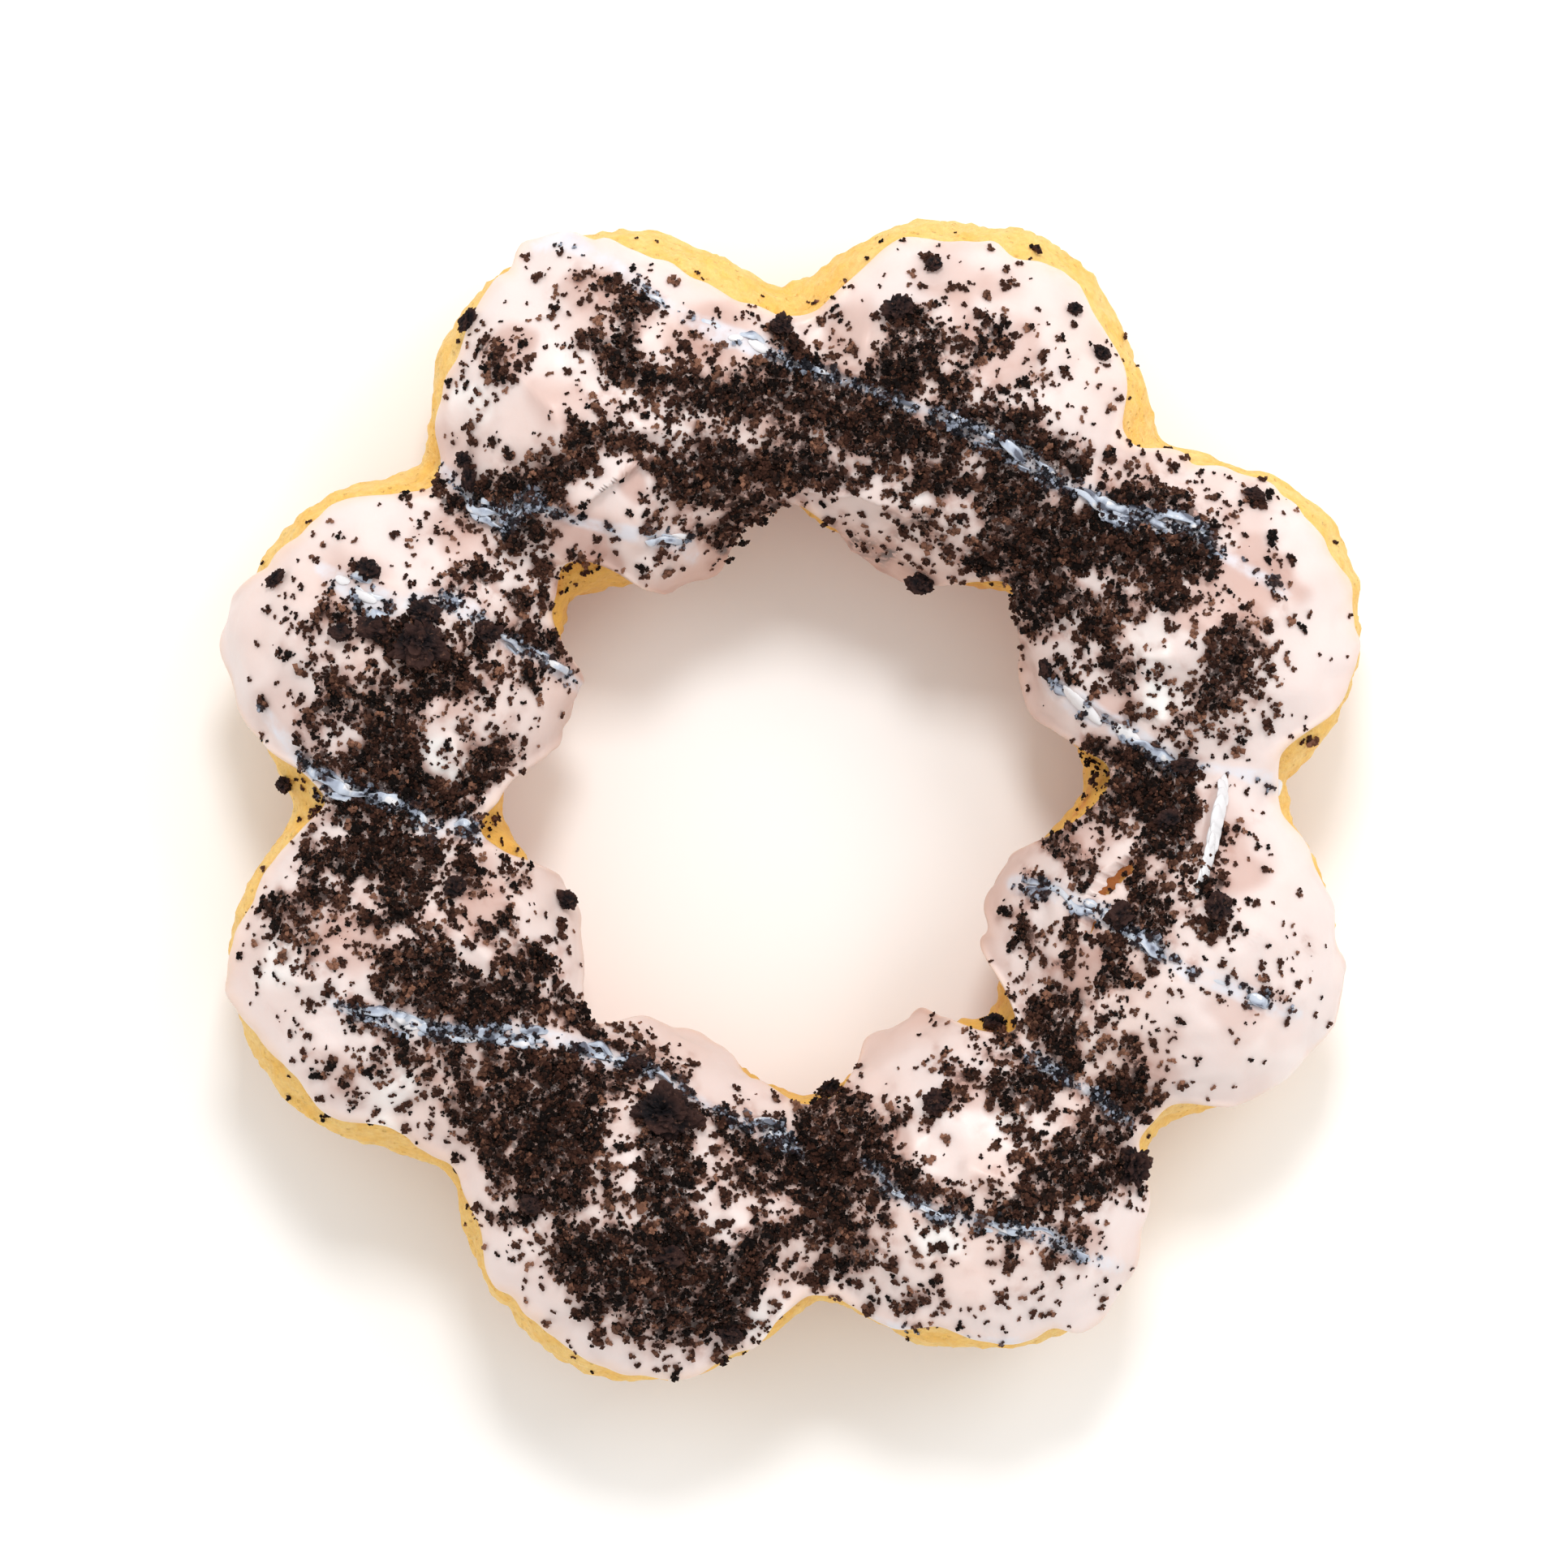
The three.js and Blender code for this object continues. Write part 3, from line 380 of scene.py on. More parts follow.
# Kinds of smaller crumbs: how many, smallest and largest width, grains in each, how much of its width a
# grain's radius is (least, most), and how strongly they keep to the thick of the trails.
CRUMB_KINDS = {
    "coarse_crumbs": (2900, 0.66, 1.15, 8, (0.20, 0.30), 0.85),
    "middle_crumbs": (5500, 0.44, 0.78, 4, (0.26, 0.36), 0.78),
    "small_crumbs": (7100, 0.32, 0.54, 3, (0.30, 0.40), 0.78),
    "fine_crumbs": (7000, 0.20, 0.34, 2, (0.36, 0.46), 1.1),
    "crumb_dust": (4000, 0.11, 0.20, 1, (0.42, 0.54), 1.6),
}
CRUMB_SHADE = (0.45, 0.26)  # the usual shade of a crumb, and how much it varies
GRAIN_SHADE = 0.12  # how much the grains of a crumb vary
MATS = (0.55, 0.4)  # cover from which crumbs lie in a mat, and how much more makes it dense
MAT_SHADE = 0.3  # how much darker crumbs are in the dense mats
PILE_HEIGHT = 0.75  # how high crumbs lie over the icing in the densest mats
PILE_LOWNESS = 1.5  # over 1, more of them lie near its foot
SMALLNESS = 1.4  # over 1, more of a kind are near its smallest width
CRUMB_FOOTING = (0.25, 0.7)  # how level the icing must be for a crumb to stay: the least and the most
CRUMB_SEAT = 0.2  # height of a crumb's middle over the icing, as a share of its width
CRUMB_REACH = 0.62  # how far a crumb's grains may reach from its middle, as a share of its width
GRAIN_UNEVENNESS = 0.22
GRAIN_FLATNESS = 0.85
GRAIN_STEP = 0.85  # distance between two grains that cling together, as a share of their radii
GRAIN_RISE = (-0.35, 0.45)  # least and most height of the one over the other, against their distance
ROUNDED_CRUMBS = 0.55  # share of the grains that gather round the first, not in a ragged line
MILKY_GRAINS = 0.34  # share of the grains beside the drizzle that it has whitened

# The strokes of the drizzle: photo pixels with the half width of the glaze there.
STROKES = [
    [(662, 300, 4), (676, 292, 13), (700, 296, 10), (726, 310, 6), (760, 328, 3), (800, 362, 4),
     (846, 392, 5), (872, 404, 9), (896, 416, 11), (910, 418, 9), (930, 424, 13), (946, 436, 4),
     (964, 446, 5), (996, 454, 3), (1016, 460, 4), (1050, 475, 2), (1090, 489, 3), (1112, 498, 4),
     (1142, 508, 2), (1172, 518, 7), (1204, 538, 10), (1234, 547, 6), (1256, 560, 9), (1276, 576, 8),
     (1300, 596, 5), (1320, 600, 5), (1340, 608, 8), (1362, 624, 9), (1388, 642, 12), (1406, 634, 6),
     (1424, 646, 7), (1442, 646, 12), (1474, 652, 7), (1490, 672, 6), (1516, 690, 4), (1552, 712, 5),
     (1580, 730, 3)],
    [(540, 575, 3), (552, 586, 6), (575, 606, 3), (592, 628, 11), (614, 634, 12), (626, 646, 10),
     (640, 632, 6), (656, 614, 8), (672, 628, 5), (700, 640, 2), (744, 650, 3), (770, 656, 6),
     (796, 664, 7), (820, 664, 7), (846, 670, 7), (852, 684, 6)],
    [(1288, 836, 3), (1302, 850, 9), (1326, 866, 12), (1350, 882, 10), (1366, 884, 3), (1380, 896, 11),
     (1396, 906, 9), (1414, 914, 5), (1426, 926, 9), (1446, 940, 6), (1470, 944, 3), (1520, 950, 2),
     (1560, 962, 9), (1590, 974, 11), (1602, 990, 6)],
    [(394, 700, 3), (416, 714, 9), (444, 730, 14), (470, 742, 13), (498, 748, 10), (530, 738, 5),
     (560, 744, 9), (582, 756, 9), (600, 772, 3), (640, 800, 5), (668, 810, 5), (696, 834, 5),
     (712, 846, 4)],
    [(1254, 1090, 9), (1280, 1098, 7), (1304, 1100, 11), (1326, 1116, 7), (1352, 1122, 11),
     (1376, 1136, 10), (1394, 1150, 6), (1420, 1166, 8), (1440, 1182, 4), (1462, 1198, 5),
     (1490, 1206, 7), (1520, 1216, 9), (1548, 1232, 8), (1566, 1242, 5), (1600, 1250, 3)],
    [(320, 872, 3), (346, 904, 5), (376, 942, 6), (404, 966, 12), (424, 970, 9), (448, 976, 4),
     (468, 982, 10), (488, 988, 9), (508, 992, 5), (520, 1010, 8), (528, 1024, 12), (548, 1020, 4),
     (568, 1018, 10), (590, 1030, 4)],
    [(1270, 1304, 4), (1284, 1308, 6), (1310, 1326, 2), (1346, 1346, 3), (1370, 1370, 4),
     (1386, 1380, 3)],
    [(414, 1236, 3), (440, 1246, 4), (476, 1252, 9), (504, 1262, 12), (540, 1268, 7), (576, 1272, 6),
     (604, 1270, 9), (634, 1274, 12), (660, 1280, 10), (694, 1282, 6), (716, 1292, 10), (744, 1304, 9),
     (770, 1312, 5), (804, 1322, 5), (836, 1340, 3), (900, 1380, 2), (936, 1390, 8), (950, 1399, 13),
     (964, 1408, 9), (982, 1420, 3)],
    [(1070, 1432, 2), (1090, 1452, 5), (1102, 1470, 4), (1130, 1483, 4), (1160, 1495, 5), (1192, 1502, 4),
     (1226, 1508, 7), (1256, 1514, 6), (1290, 1522, 8), (1310, 1534, 4), (1340, 1550, 6),
     (1380, 1562, 4)],
    [(1080, 1628, 2), (1120, 1642, 4), (1170, 1652, 4), (1220, 1656, 5), (1276, 1660, 4),
     (1300, 1656, 2)],
]
# Smooth drops of the same glaze: photo pixel, length, width, turn.
DROPS = [
    (1334, 868, 4.2, 1.3, -33), (1389, 904, 2.5, 1.1, -36), (606, 636, 1.3, 0.6, -60),
    (934, 428, 1.9, 0.8, -25), (906, 418, 1.2, 0.6, 0), (838, 660, 1.6, 0.5, -15),
    (1578, 970, 1.4, 0.8, -60), (1394, 1158, 2.2, 0.7, -30), (1508, 966, 1.8, 0.7, 80),
    (1506, 977, 2.4, 0.9, 80), (1504, 988, 2.6, 1.0, 79), (1501, 1000, 2.6, 1.1, 77),
    (1498, 1011, 2.6, 1.15, 76), (1496, 1022, 2.6, 1.15, 75), (1493, 1033, 2.6, 1.15, 74),
    (1490, 1044, 2.6, 1.1, 73), (1487, 1055, 2.6, 1.05, 71), (1483, 1067, 2.4, 0.95, 69),
    (1480, 1078, 2.0, 0.85, 67), (1477, 1088, 1.6, 0.7, 66), (504, 1262, 1.8, 0.7, -15),
    (956, 1402, 1.6, 0.8, -35), (452, 736, 2.0, 0.8, -25), (424, 716, 1.4, 0.7, -30),
]
DROP_FLATNESS = 0.42
DROP_BUMPS = [(0.1, 0.9, 71)]
DROP_SEAT = 0.08  # height of a drop's middle over the icing, as a share of its width
DROP_FEELERS = (-0.25, 0, 0.25)  # where along its length the icing under it is felt for

# The strands of each stroke: shift to the side and radius, in half widths of the stroke, and seed.
STRANDS = [(0, 0.8, 61), (0.75, 0.5, 158), (-0.75, 0.5, 255)]
NEXT_STROKE = 10  # what is added to those seeds from stroke to stroke
STRAND_WANDER = (0.5, 2.2)  # how far a strand wanders, in half widths, and over what length
STRAND_TREMBLE = (0.06, 0.8)  # how far it trembles, in mm, and over what length
STRAND_SHARE = 0.7  # the usual share of its radius that a strand has
STRAND_PATCHES = [(0.6, 1.4, 2), (0.25, 0.6, 3)]  # and how that varies along it
FULLEST_STRAND = 1.15  # the largest share
THINNEST_STRAND = 0.03  # the least radius
SHORTEST_STRAND = 4  # points
STRAND_END = 1.2  # length over which a strand narrows to its end
DRIZZLE_STEP = 0.2
DRIZZLE_SIDES = 10
DRIZZLE_FLATNESS = 0.24
DRIZZLE_BUMPS = [(0.1, 0.5, 5)]
DRIZZLE_FELT = (0.25, 0.4)  # cover from which the glaze lies on crumbs, and how much more makes it full
DRIZZLE_ON_ICING = 0.42  # the glaze's radius where it lies on bare icing, as a share
DRIZZLE_HEAP = (0.4, 0.5)  # cover from which it is lifted by the crumbs, and how much more lifts it fully
DRIZZLE_THICK = 0.45  # radius from which it has its full height
DRIZZLE_WAVES = [(0.3, 1.8, 4)]
DRIZZLE_LEVEL = 0.9  # the usual share of its height that it has
DRIZZLE_SINK = 0.12  # how far it is let into what it lies on
DRIZZLE_EASING = 2  # how often its line is smoothed
STREAK_SIZE = (1.6, 1.3)  # length of a streak in it, and how finely streaks follow each other round it
STREAK_CLEARNESS = 0.57  # how clear it usually is on crumbs
STREAK_CONTRAST = 0.55  # and how much that varies from streak to streak
STREAK_GRAIN = (0.3, 0.5)  # how much it varies within them, and over what length
WHITE_CLEARNESS = 0.12  # how clear it is on bare icing
END_CLEARNESS = 0.5
DRIZZLE_FOOTING = 0.42  # how level the icing must be for the drizzle to lie on it
DRIZZLE_GAP = 1.5  # the widest gap that a strand bridges
DRIZZLE_LIFT = 0.22  # height of the glaze over the icing, on the crumbs that it covers
MILK_REACH = 7.0  # pixels from a stroke to which it coats the crumbs


def linear(red, green, blue):
    """A colour given as 0 to 255 on screen, as the shaders take it."""
    shares = np.array([red, green, blue]) / 255
    return (*np.where(shares > 0.04045, ((shares + 0.055) / 1.055) ** 2.4, shares / 12.92), 1.0)


COLOURS = {
    "crust_pale": linear(243, 204, 124),
    "crust_gold": linear(243, 190, 88),
    "crust_brown": linear(220, 124, 34),
    "crust_speck": linear(206, 148, 66),
    "crust_deep": linear(150, 84, 30),
    "icing": linear(228, 212, 207),
    "icing_thin": linear(226, 202, 193),
    "icing_edge": linear(230, 190, 152),
    "icing_painted_highlight": linear(250, 243, 239),
    "icing_shaded": linear(196, 160, 148),
    "icing_painted_inner_shade": linear(204, 158, 138),
    "icing_stain_and_shade": linear(176, 128, 112),
    "crumb_dark": linear(13, 6, 4),
    "crumb": linear(60, 35, 26),
    "crumb_light": linear(134, 94, 75),
    "crumb_milky": linear(150, 157, 172),
    "crumb_wet": linear(28, 30, 38),
    "milk_film": linear(219, 219, 226),
    "milk_white": linear(226, 223, 224),
    "milk": linear(190, 198, 211),
    "milk_thin": linear(158, 166, 182),
    "milk_clear": linear(96, 100, 114),
    "floor": linear(250, 250, 249),
}

# Sizes in the materials. A glow is how far red, green and blue light spreads inside.
CRUST_BAND = (9.0, 4.5)  # heights between which the inside of the ring turns from golden to brown
CRUST_RAGGEDNESS = 2.0
PORE_SIZE = 0.7
CRUST_DEPTH, ICING_DEPTH, CRUMB_DEPTH, GLAZE_DEPTH = 0.28, 0.06, 0.06, 0.04
CRUST_GLOW, ICING_GLOW, GLAZE_GLOW = (2.0, 1.0, 0.4), (1.5, 1.1, 1.0), (0.5, 0.5, 0.5)

# ---------------------------------------------------------------- helpers


def from_photo(places, height=TOPPING_HEIGHT):
    """Photo pixels as x and y in millimetres, for things at that height over the table."""
    offset = (np.asarray(places, float) - PHOTO_WIDTH / 2) * [1, -1] * PHOTO_MM
    nearness = (CAMERA_HEIGHT - height) / (CAMERA_HEIGHT - EQUATOR)
    return CAMERA_AXIS + offset * nearness


def smooth(share):
    """Eases a share from 0 to 1."""
    share = np.clip(share, 0, 1)
    return share * share * (3 - 2 * share)


def lattice(cells, seed):
    """A number from -1 to 1 for each whole-numbered corner of space, the same on every run."""
    mixed = cells[..., 0] * 73856093 ^ cells[..., 1] * 19349663 ^ cells[..., 2] * 83492791 ^ seed * 40503
    for shift, factor in ((15, 0x2C1B3C6D), (12, 0x297A2D39)):
        mixed &= 0xFFFFFFFF
        mixed = (mixed ^ (mixed >> shift)) * factor
    mixed &= 0xFFFFFFFF
    return (mixed ^ (mixed >> 15)) / 0x7FFFFFFF - 1


def noise(points, size, seed):
    """Smooth noise, about -1 to 1, whose lumps are size across."""
    places = np.asarray(points, float) / size
    base = np.floor(places).astype(np.int64)
    ease = smooth(places - base)
    total = 0
    for corner in itertools.product((0, 1), repeat=3):
        weight = np.where(corner, ease, 1 - ease).prod(-1)
        total = total + weight * lattice(base + np.array(corner), seed)
    return total * 1.6


def layered(points, layers, seed=0, level=0):
    """A level with layers of noise added to it, each given by its height, size and seed."""
    for height, size, number in layers:
        level = level + height * noise(points, size, seed + number)
    return level


def ramp(value, start, width):
    """0 up to the start, easing to 1 over the width after it."""
    return smooth((value - start) / width)


def flat_points(places):
    """x, y points as points in space at height 0."""
    return np.concatenate([places, np.zeros(places.shape[:-1] + (1,))], -1)


def unit(vectors):
    """The vectors at a length of 1."""
    return vectors / np.maximum(np.linalg.norm(vectors, axis=-1, keepdims=True), 1e-9)


def mesh_piece(name, points, faces, material, attributes, flat=False):
    """A mesh object from points in mm and faces, riding on the root body."""
    mesh = bpy.data.meshes.new(name)
    sides = faces.shape[1]
    mesh.vertices.add(len(points))
    mesh.vertices.foreach_set("co", (np.asarray(points) * MM).astype(np.float32).ravel())
    mesh.loops.add(faces.size)
    mesh.loops.foreach_set("vertex_index", faces.astype(np.int32).ravel())
    mesh.polygons.add(len(faces))
    mesh.polygons.foreach_set("loop_start", np.arange(0, faces.size, sides, dtype=np.int32))
    mesh.polygons.foreach_set("use_smooth", np.full(len(faces), not flat))
    mesh.update(calc_edges=True)
    for attribute, values in attributes.items():
        held = mesh.attributes.new(attribute, "FLOAT", "POINT")
        held.data.foreach_set("value", values.astype(np.float32))
    mesh.materials.append(material)
    piece = bpy.data.objects.new(name, mesh)
    bpy.context.scene.collection.objects.link(piece)
    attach(piece, "root")
    return piece


def ring_faces(around, across):
    """Quads of a closed tube of closed sections, numbered section by section."""
    here = np.arange(around)[:, None] * across
    there = (np.arange(around)[:, None] + 1) % around * across
    j = np.arange(across)[None]
    k = (j + 1) % across
    return np.stack([here + j, there + j, there + k, here + k], -1).reshape(-1, 4)


def photo_trail(rows):
    """A trail of (x, y, half width) photo pixels in millimetres, with at least two points."""
    rows = np.array(rows, float)
    if len(rows) == 1:
        rows = np.repeat(rows, 2, 0)
    return np.concatenate([from_photo(rows[:, :2]), rows[:, 2:] * PHOTO_MM], -1)


def nearest_on_trail(places, trail):
    """The distance from each place to the edge of a trail, below zero inside it."""
    least = np.full(places.shape[:-1], np.inf)
    for start, end in zip(trail[:-1], trail[1:]):
        along = end[:2] - start[:2]
        share = np.clip(((places - start[:2]) @ along) / max(along @ along, 1e-9), 0, 1)
        middle = start + share[..., None] * (end - start)
        distance = np.linalg.norm(places - middle[..., :2], axis=-1) - middle[..., 2]
        least = np.minimum(least, distance)
    return least


def heading(turn):
    """The level direction at that angle in degrees, anticlockwise from +X."""
    return np.array([math.cos(math.radians(turn)), math.sin(math.radians(turn)), 0])


def turned_axes(normal, turn):
    """Directions ahead, aside and up for a thing that lies on that normal, turned by so many degrees."""
    way = heading(turn)
    ahead = unit(way - normal * (normal @ way))
    return np.stack([ahead, np.cross(normal, ahead), normal])


def joined(parts):
    """Parts, each of points, faces and a value for each point, as one."""
    all_faces, first = [], 0
    for points, faces, _ in parts:
        all_faces.append(faces + first)
        first += len(points)
    all_points, _, all_values = zip(*parts)
    return np.concatenate(all_points), np.concatenate(all_faces), np.concatenate(all_values)


# ---------------------------------------------------------------- the form of the doughnut

BALL_TURNS = np.radians(BALLS[:, 0])
BALL_COS, BALL_SIN = np.cos(BALL_TURNS), np.sin(BALL_TURNS)
BALL_X = BALLS[:, 1] * BALL_COS + RING_MIDDLE[0]
BALL_Y = BALLS[:, 1] * BALL_SIN + RING_MIDDLE[1]


def ring_distance(points, blend):
    """Roughly the distance from points to the ring's skin, below zero inside: a soft union of the balls."""
    total = 0
    for i, (_, _, radial, along, rise) in enumerate(BALLS):
        dx = points[..., 0] - BALL_X[i]
        dy = points[..., 1] - BALL_Y[i]
        outwards = dx * BALL_COS[i] + dy * BALL_SIN[i]
        sideways = dy * BALL_COS[i] - dx * BALL_SIN[i]
        up = points[..., 2] - EQUATOR
        near = np.sqrt((outwards / radial) ** 2 + (sideways / along) ** 2 + (up / rise) ** 2)
        slope = np.sqrt((outwards / radial**2) ** 2 + (sideways / along**2) ** 2 + (up / rise**2) ** 2)
        total = total + np.exp(-near * (near - 1) / np.maximum(slope, 1e-9) / blend)
    return -blend * np.log(total)


def lumps(points):
    """Low lumps that keep the skin from being perfectly smooth."""
    x, y, z = points[..., 0], points[..., 1], points[..., 2]
    broad = np.sin(0.31 * x + 0.4) * np.sin(0.27 * y + 1.1)
    fine = np.sin(0.62 * x - 0.45 * y + 0.3 * z) * np.sin(0.55 * y + 2.0)
    return 0.3 * broad + 0.16 * fine


def dough_distance(points):
    """Roughly the distance to the skin of the dough, below zero inside."""
    return ring_distance(points, DOUGH_BLEND) - lumps(points)


def icing_distance(points):
    """Roughly the distance to the top of the icing, below zero inside."""
    return ring_distance(points, ICING_BLEND) - lumps(points) - ICING_RISE


def tube_points(around, across, distance):
    """Points at a distance from the tube's inner line, by their angles round the ring and the tube."""
    reach = SECTION_REACH + distance * np.cos(across)
    x = reach * np.cos(around) + RING_MIDDLE[0]
    y = reach * np.sin(around) + RING_MIDDLE[1]
    return np.stack([x, y, EQUATOR + distance * np.sin(across)], -1)


def skin_reach(distance_to, around, across):
    """How far the skin lies from the tube's inner line in those directions."""
    low = np.zeros(np.broadcast(around, across).shape)
    high = low + FARTHEST_SKIN
    for _ in range(SKIN_STEPS):
        middle = (low + high) / 2
        inside = distance_to(tube_points(around, across, middle)) < 0
        low = np.where(inside, middle, low)
        high = np.where(inside, high, middle)
    return (low + high) / 2


def round_the_ring(pairs, around):
    """The value of a list of [angle, value] pairs at angles round the ring, eased from pair to pair."""
    stops = np.append(pairs[:, 0], pairs[0, 0] + 360)
    values = np.append(pairs[:, 1], pairs[0, 1])
    turned = (np.degrees(around) - stops[0]) % 360 + stops[0]
    last = np.clip(np.searchsorted(stops, turned, side="right") - 1, 0, len(stops) - 2)
    share = smooth((turned - stops[last]) / (stops[last + 1] - stops[last]))
    return values[last] + (values[last + 1] - values[last]) * share


# ---------------------------------------------------------------- crumb cover


def crumb_cover(places):
    """The share of the icing that crumbs hide at x, y places."""
    bare = np.full(places.shape[:-1], 1 - LOOSE_COVER)
    softness = TRAIL_SOFTNESS * PHOTO_MM
    for cover, rows in TRAILS:
        distance = nearest_on_trail(places, photo_trail(rows))
        inside = smooth(0.5 - distance / softness / 2)
        strayed = HALO_SHARE * smooth(1 - distance / (HALO_REACH * PHOTO_MM))
        bare *= 1 - cover * np.maximum(inside, strayed)
    hidden = 1 - bare
    patchy = hidden + layered(flat_points(places), COVER_PATCHES) * COVER_PATCHINESS * hidden * (1 - hidden)
    return np.clip(patchy, 0.0, FULL_COVER) * (1 - split_depth(places, SPLIT_MARGIN))


def near_drizzle(places):
    """1 on a stroke of the drizzle, easing to 0 beside it."""
    least = np.full(places.shape[:-1], np.inf)
    for stroke in STROKES:
        least = np.minimum(least, nearest_on_trail(places, photo_trail(stroke)))
    return smooth(1 - least / (MILK_REACH * PHOTO_MM))


# ---------------------------------------------------------------- the dough


def dough_piece(material):
    """The ring of balls, with its flat spots on the table."""
    around = np.linspace(0, 2 * math.pi, DOUGH_AROUND, endpoint=False)[:, None]
    across = np.linspace(-math.pi / 2, 3 * math.pi / 2, DOUGH_ACROSS, endpoint=False)[None]
    across = across + SECTION_CROWDING * np.sin(2 * across - SECTION_TURN)
    reach = skin_reach(dough_distance, around, across)
    skin = tube_points(around, across, reach)
    rough_reach = reach + layered(skin, DOUGH_RELIEF) - DOUGH_SET_BACK
    down = -np.sin(across)
    table_reach = np.where(down > 0.01, EQUATOR / np.maximum(down, 0.01), np.inf)
    points = tube_points(around, across, np.minimum(rough_reach, table_reach))
    points[..., 2] = np.maximum(points[..., 2], 0)
    faces = ring_faces(DOUGH_AROUND, DOUGH_ACROSS)
    points = points.reshape(-1, 3)
    reach = np.linalg.norm(points[:, :2], axis=-1)
    inwards = smooth((RIM_REACH[1] - reach) / (RIM_REACH[1] - RIM_REACH[0]))
    attributes = {"inwards": inwards, "split": split_depth(points[:, :2], SPLIT_BROWNING)}
    piece = mesh_piece("fried_dough", points, faces, material, attributes)
    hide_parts("dough_ring")
    return piece


# ---------------------------------------------------------------- the icing


def fold_relief(places):
    """Height that the folds and furrows add to the icing."""
    total = np.zeros(places.shape[:-1])
    for height, left_width, right_width, pixels in FOLDS:
        line = from_photo(pixels)
        closest = np.full(total.shape, np.inf)
        slope_width = np.ones(total.shape)
        travelled = np.zeros(total.shape)
        length = 0.0
        for start, end in zip(line[:-1], line[1:]):
            along = end - start
            step = np.linalg.norm(along)
            share = np.clip(((places - start) @ along) / step**2, 0, 1)
            gap = places - (start + share[..., None] * along)
            distance = np.linalg.norm(gap, axis=-1)
            nearer = distance < closest
            on_left = (along[0] * gap[..., 1] - along[1] * gap[..., 0]) > 0
            closest = np.where(nearer, distance, closest)
            slope_width = np.where(nearer, np.where(on_left, left_width, right_width), slope_width)
            travelled = np.where(nearer, length + share * step, travelled)
            length += step
        ends = smooth(np.minimum(travelled, length - travelled) / (FOLD_FADE * length) + FOLD_END)
        total += height * ends * np.clip(1 - closest / slope_width, 0, 1) ** FOLD_SHARPNESS
    return total


def split_depth(places, grown=1.0):
    """1 inside the splits of the icing, 0 outside."""
    deepest = np.zeros(places.shape[:-1])
    ragged = layered(flat_points(places), SPLIT_RAGGED)
    for x, y, half_length, half_width, turn in SPLITS:
        offset = places - from_photo((x, y))
        cos, sin, _ = heading(turn)
        along = (offset[..., 0] * cos + offset[..., 1] * sin) / half_length / grown
        sideways = (offset[..., 1] * cos - offset[..., 0] * sin) / half_width / grown
        inside = 1 - along**2 - np.abs(sideways) + ragged
        deepest = np.maximum(deepest, smooth(inside / SPLIT_BANK))
    return deepest


def thin_icing_and_painted_light(places):
    """How thin the icing is and how much light is painted on it: 1 where it is thin and painted with shade,
    0 away from all, -1 in a painted highlight.
    """
    ragged = layered(flat_points(places), THIN_AND_PAINTED_LIGHT_RAGGED)
    total = np.zeros(places.shape[:-1])
    for x, y, half_width, strength in THIN_ICING_AND_PAINTED_LIGHT_PLACES:
        distance = np.linalg.norm(places - from_photo((x, y)), axis=-1) / (half_width * PHOTO_MM)
        total += strength * smooth(THIN_AND_PAINTED_LIGHT_FADE - distance + ragged)
    return np.clip(total, -1, 1)


def edge_angles(around, edge, circle, wobble):
    """Where the icing stops, as angles above the equator in degrees, for the angles round the ring."""
    rim = np.stack([circle * np.cos(around), circle * np.sin(around), 0 * around], -1)
    return round_the_ring(edge, around) + layered(rim, wobble)


def icing_sections():
    """The icing's upper surface, its underside, and how near the upper one is to an edge."""
    around = np.linspace(0, 2 * math.pi, ICING_AROUND, endpoint=False)[:, None]
    start = np.radians(edge_angles(around, OUTER_EDGE, OUTER_CIRCLE, OUTER_WOBBLE))
    end = math.pi - np.radians(edge_angles(around, INNER_EDGE, INNER_CIRCLE, INNER_WOBBLE))

    share = np.linspace(0, 1, ICING_ACROSS)[None]
    near_edges = 1 - smooth(np.minimum(share, 1 - share) * 4)
    share = share - EDGE_CROWDING * np.sin(4 * math.pi * share) / 2 * near_edges
    across = start + (end - start) * share
    dough = skin_reach(dough_distance, around, across)
    full = skin_reach(icing_distance, around, across)
    flat_skin = tube_points(around, across, full)
    full = full + layered(flat_skin, ICING_WAVES) + fold_relief(flat_skin[..., :2])
    width = (end - start) * full
    inwards = np.minimum(share, 1 - share) * width / ICING_LIP
    lip = np.sqrt(1 - (1 - np.clip(inwards, 0, 1)) ** 2)
    bead = LIP_BEAD * np.exp(-((inwards - BEAD_PLACE[0]) / BEAD_PLACE[1]) ** 2)
    thickness = (full - dough) * lip * (1 + bead)
    split = split_depth(flat_skin[..., :2])
    thickness = thickness * (1 - split) - SPLIT_DROP * split
    top = tube_points(around, across, dough + np.maximum(thickness, -SPLIT_DROP))

    under_share = np.linspace(1, 0, ICING_UNDER)[None]
    under_across = start + (end - start) * under_share
    under = skin_reach(dough_distance, around, under_across) - ICING_SINK
    under = np.where((under_share < 1) & (under_share > 0), under - ICING_HOLLOW, under)
    underside = tube_points(around, under_across, under)
    edge = smooth(1 - inwards * ICING_LIP / EDGE_TINT)
    return top, underside, edge


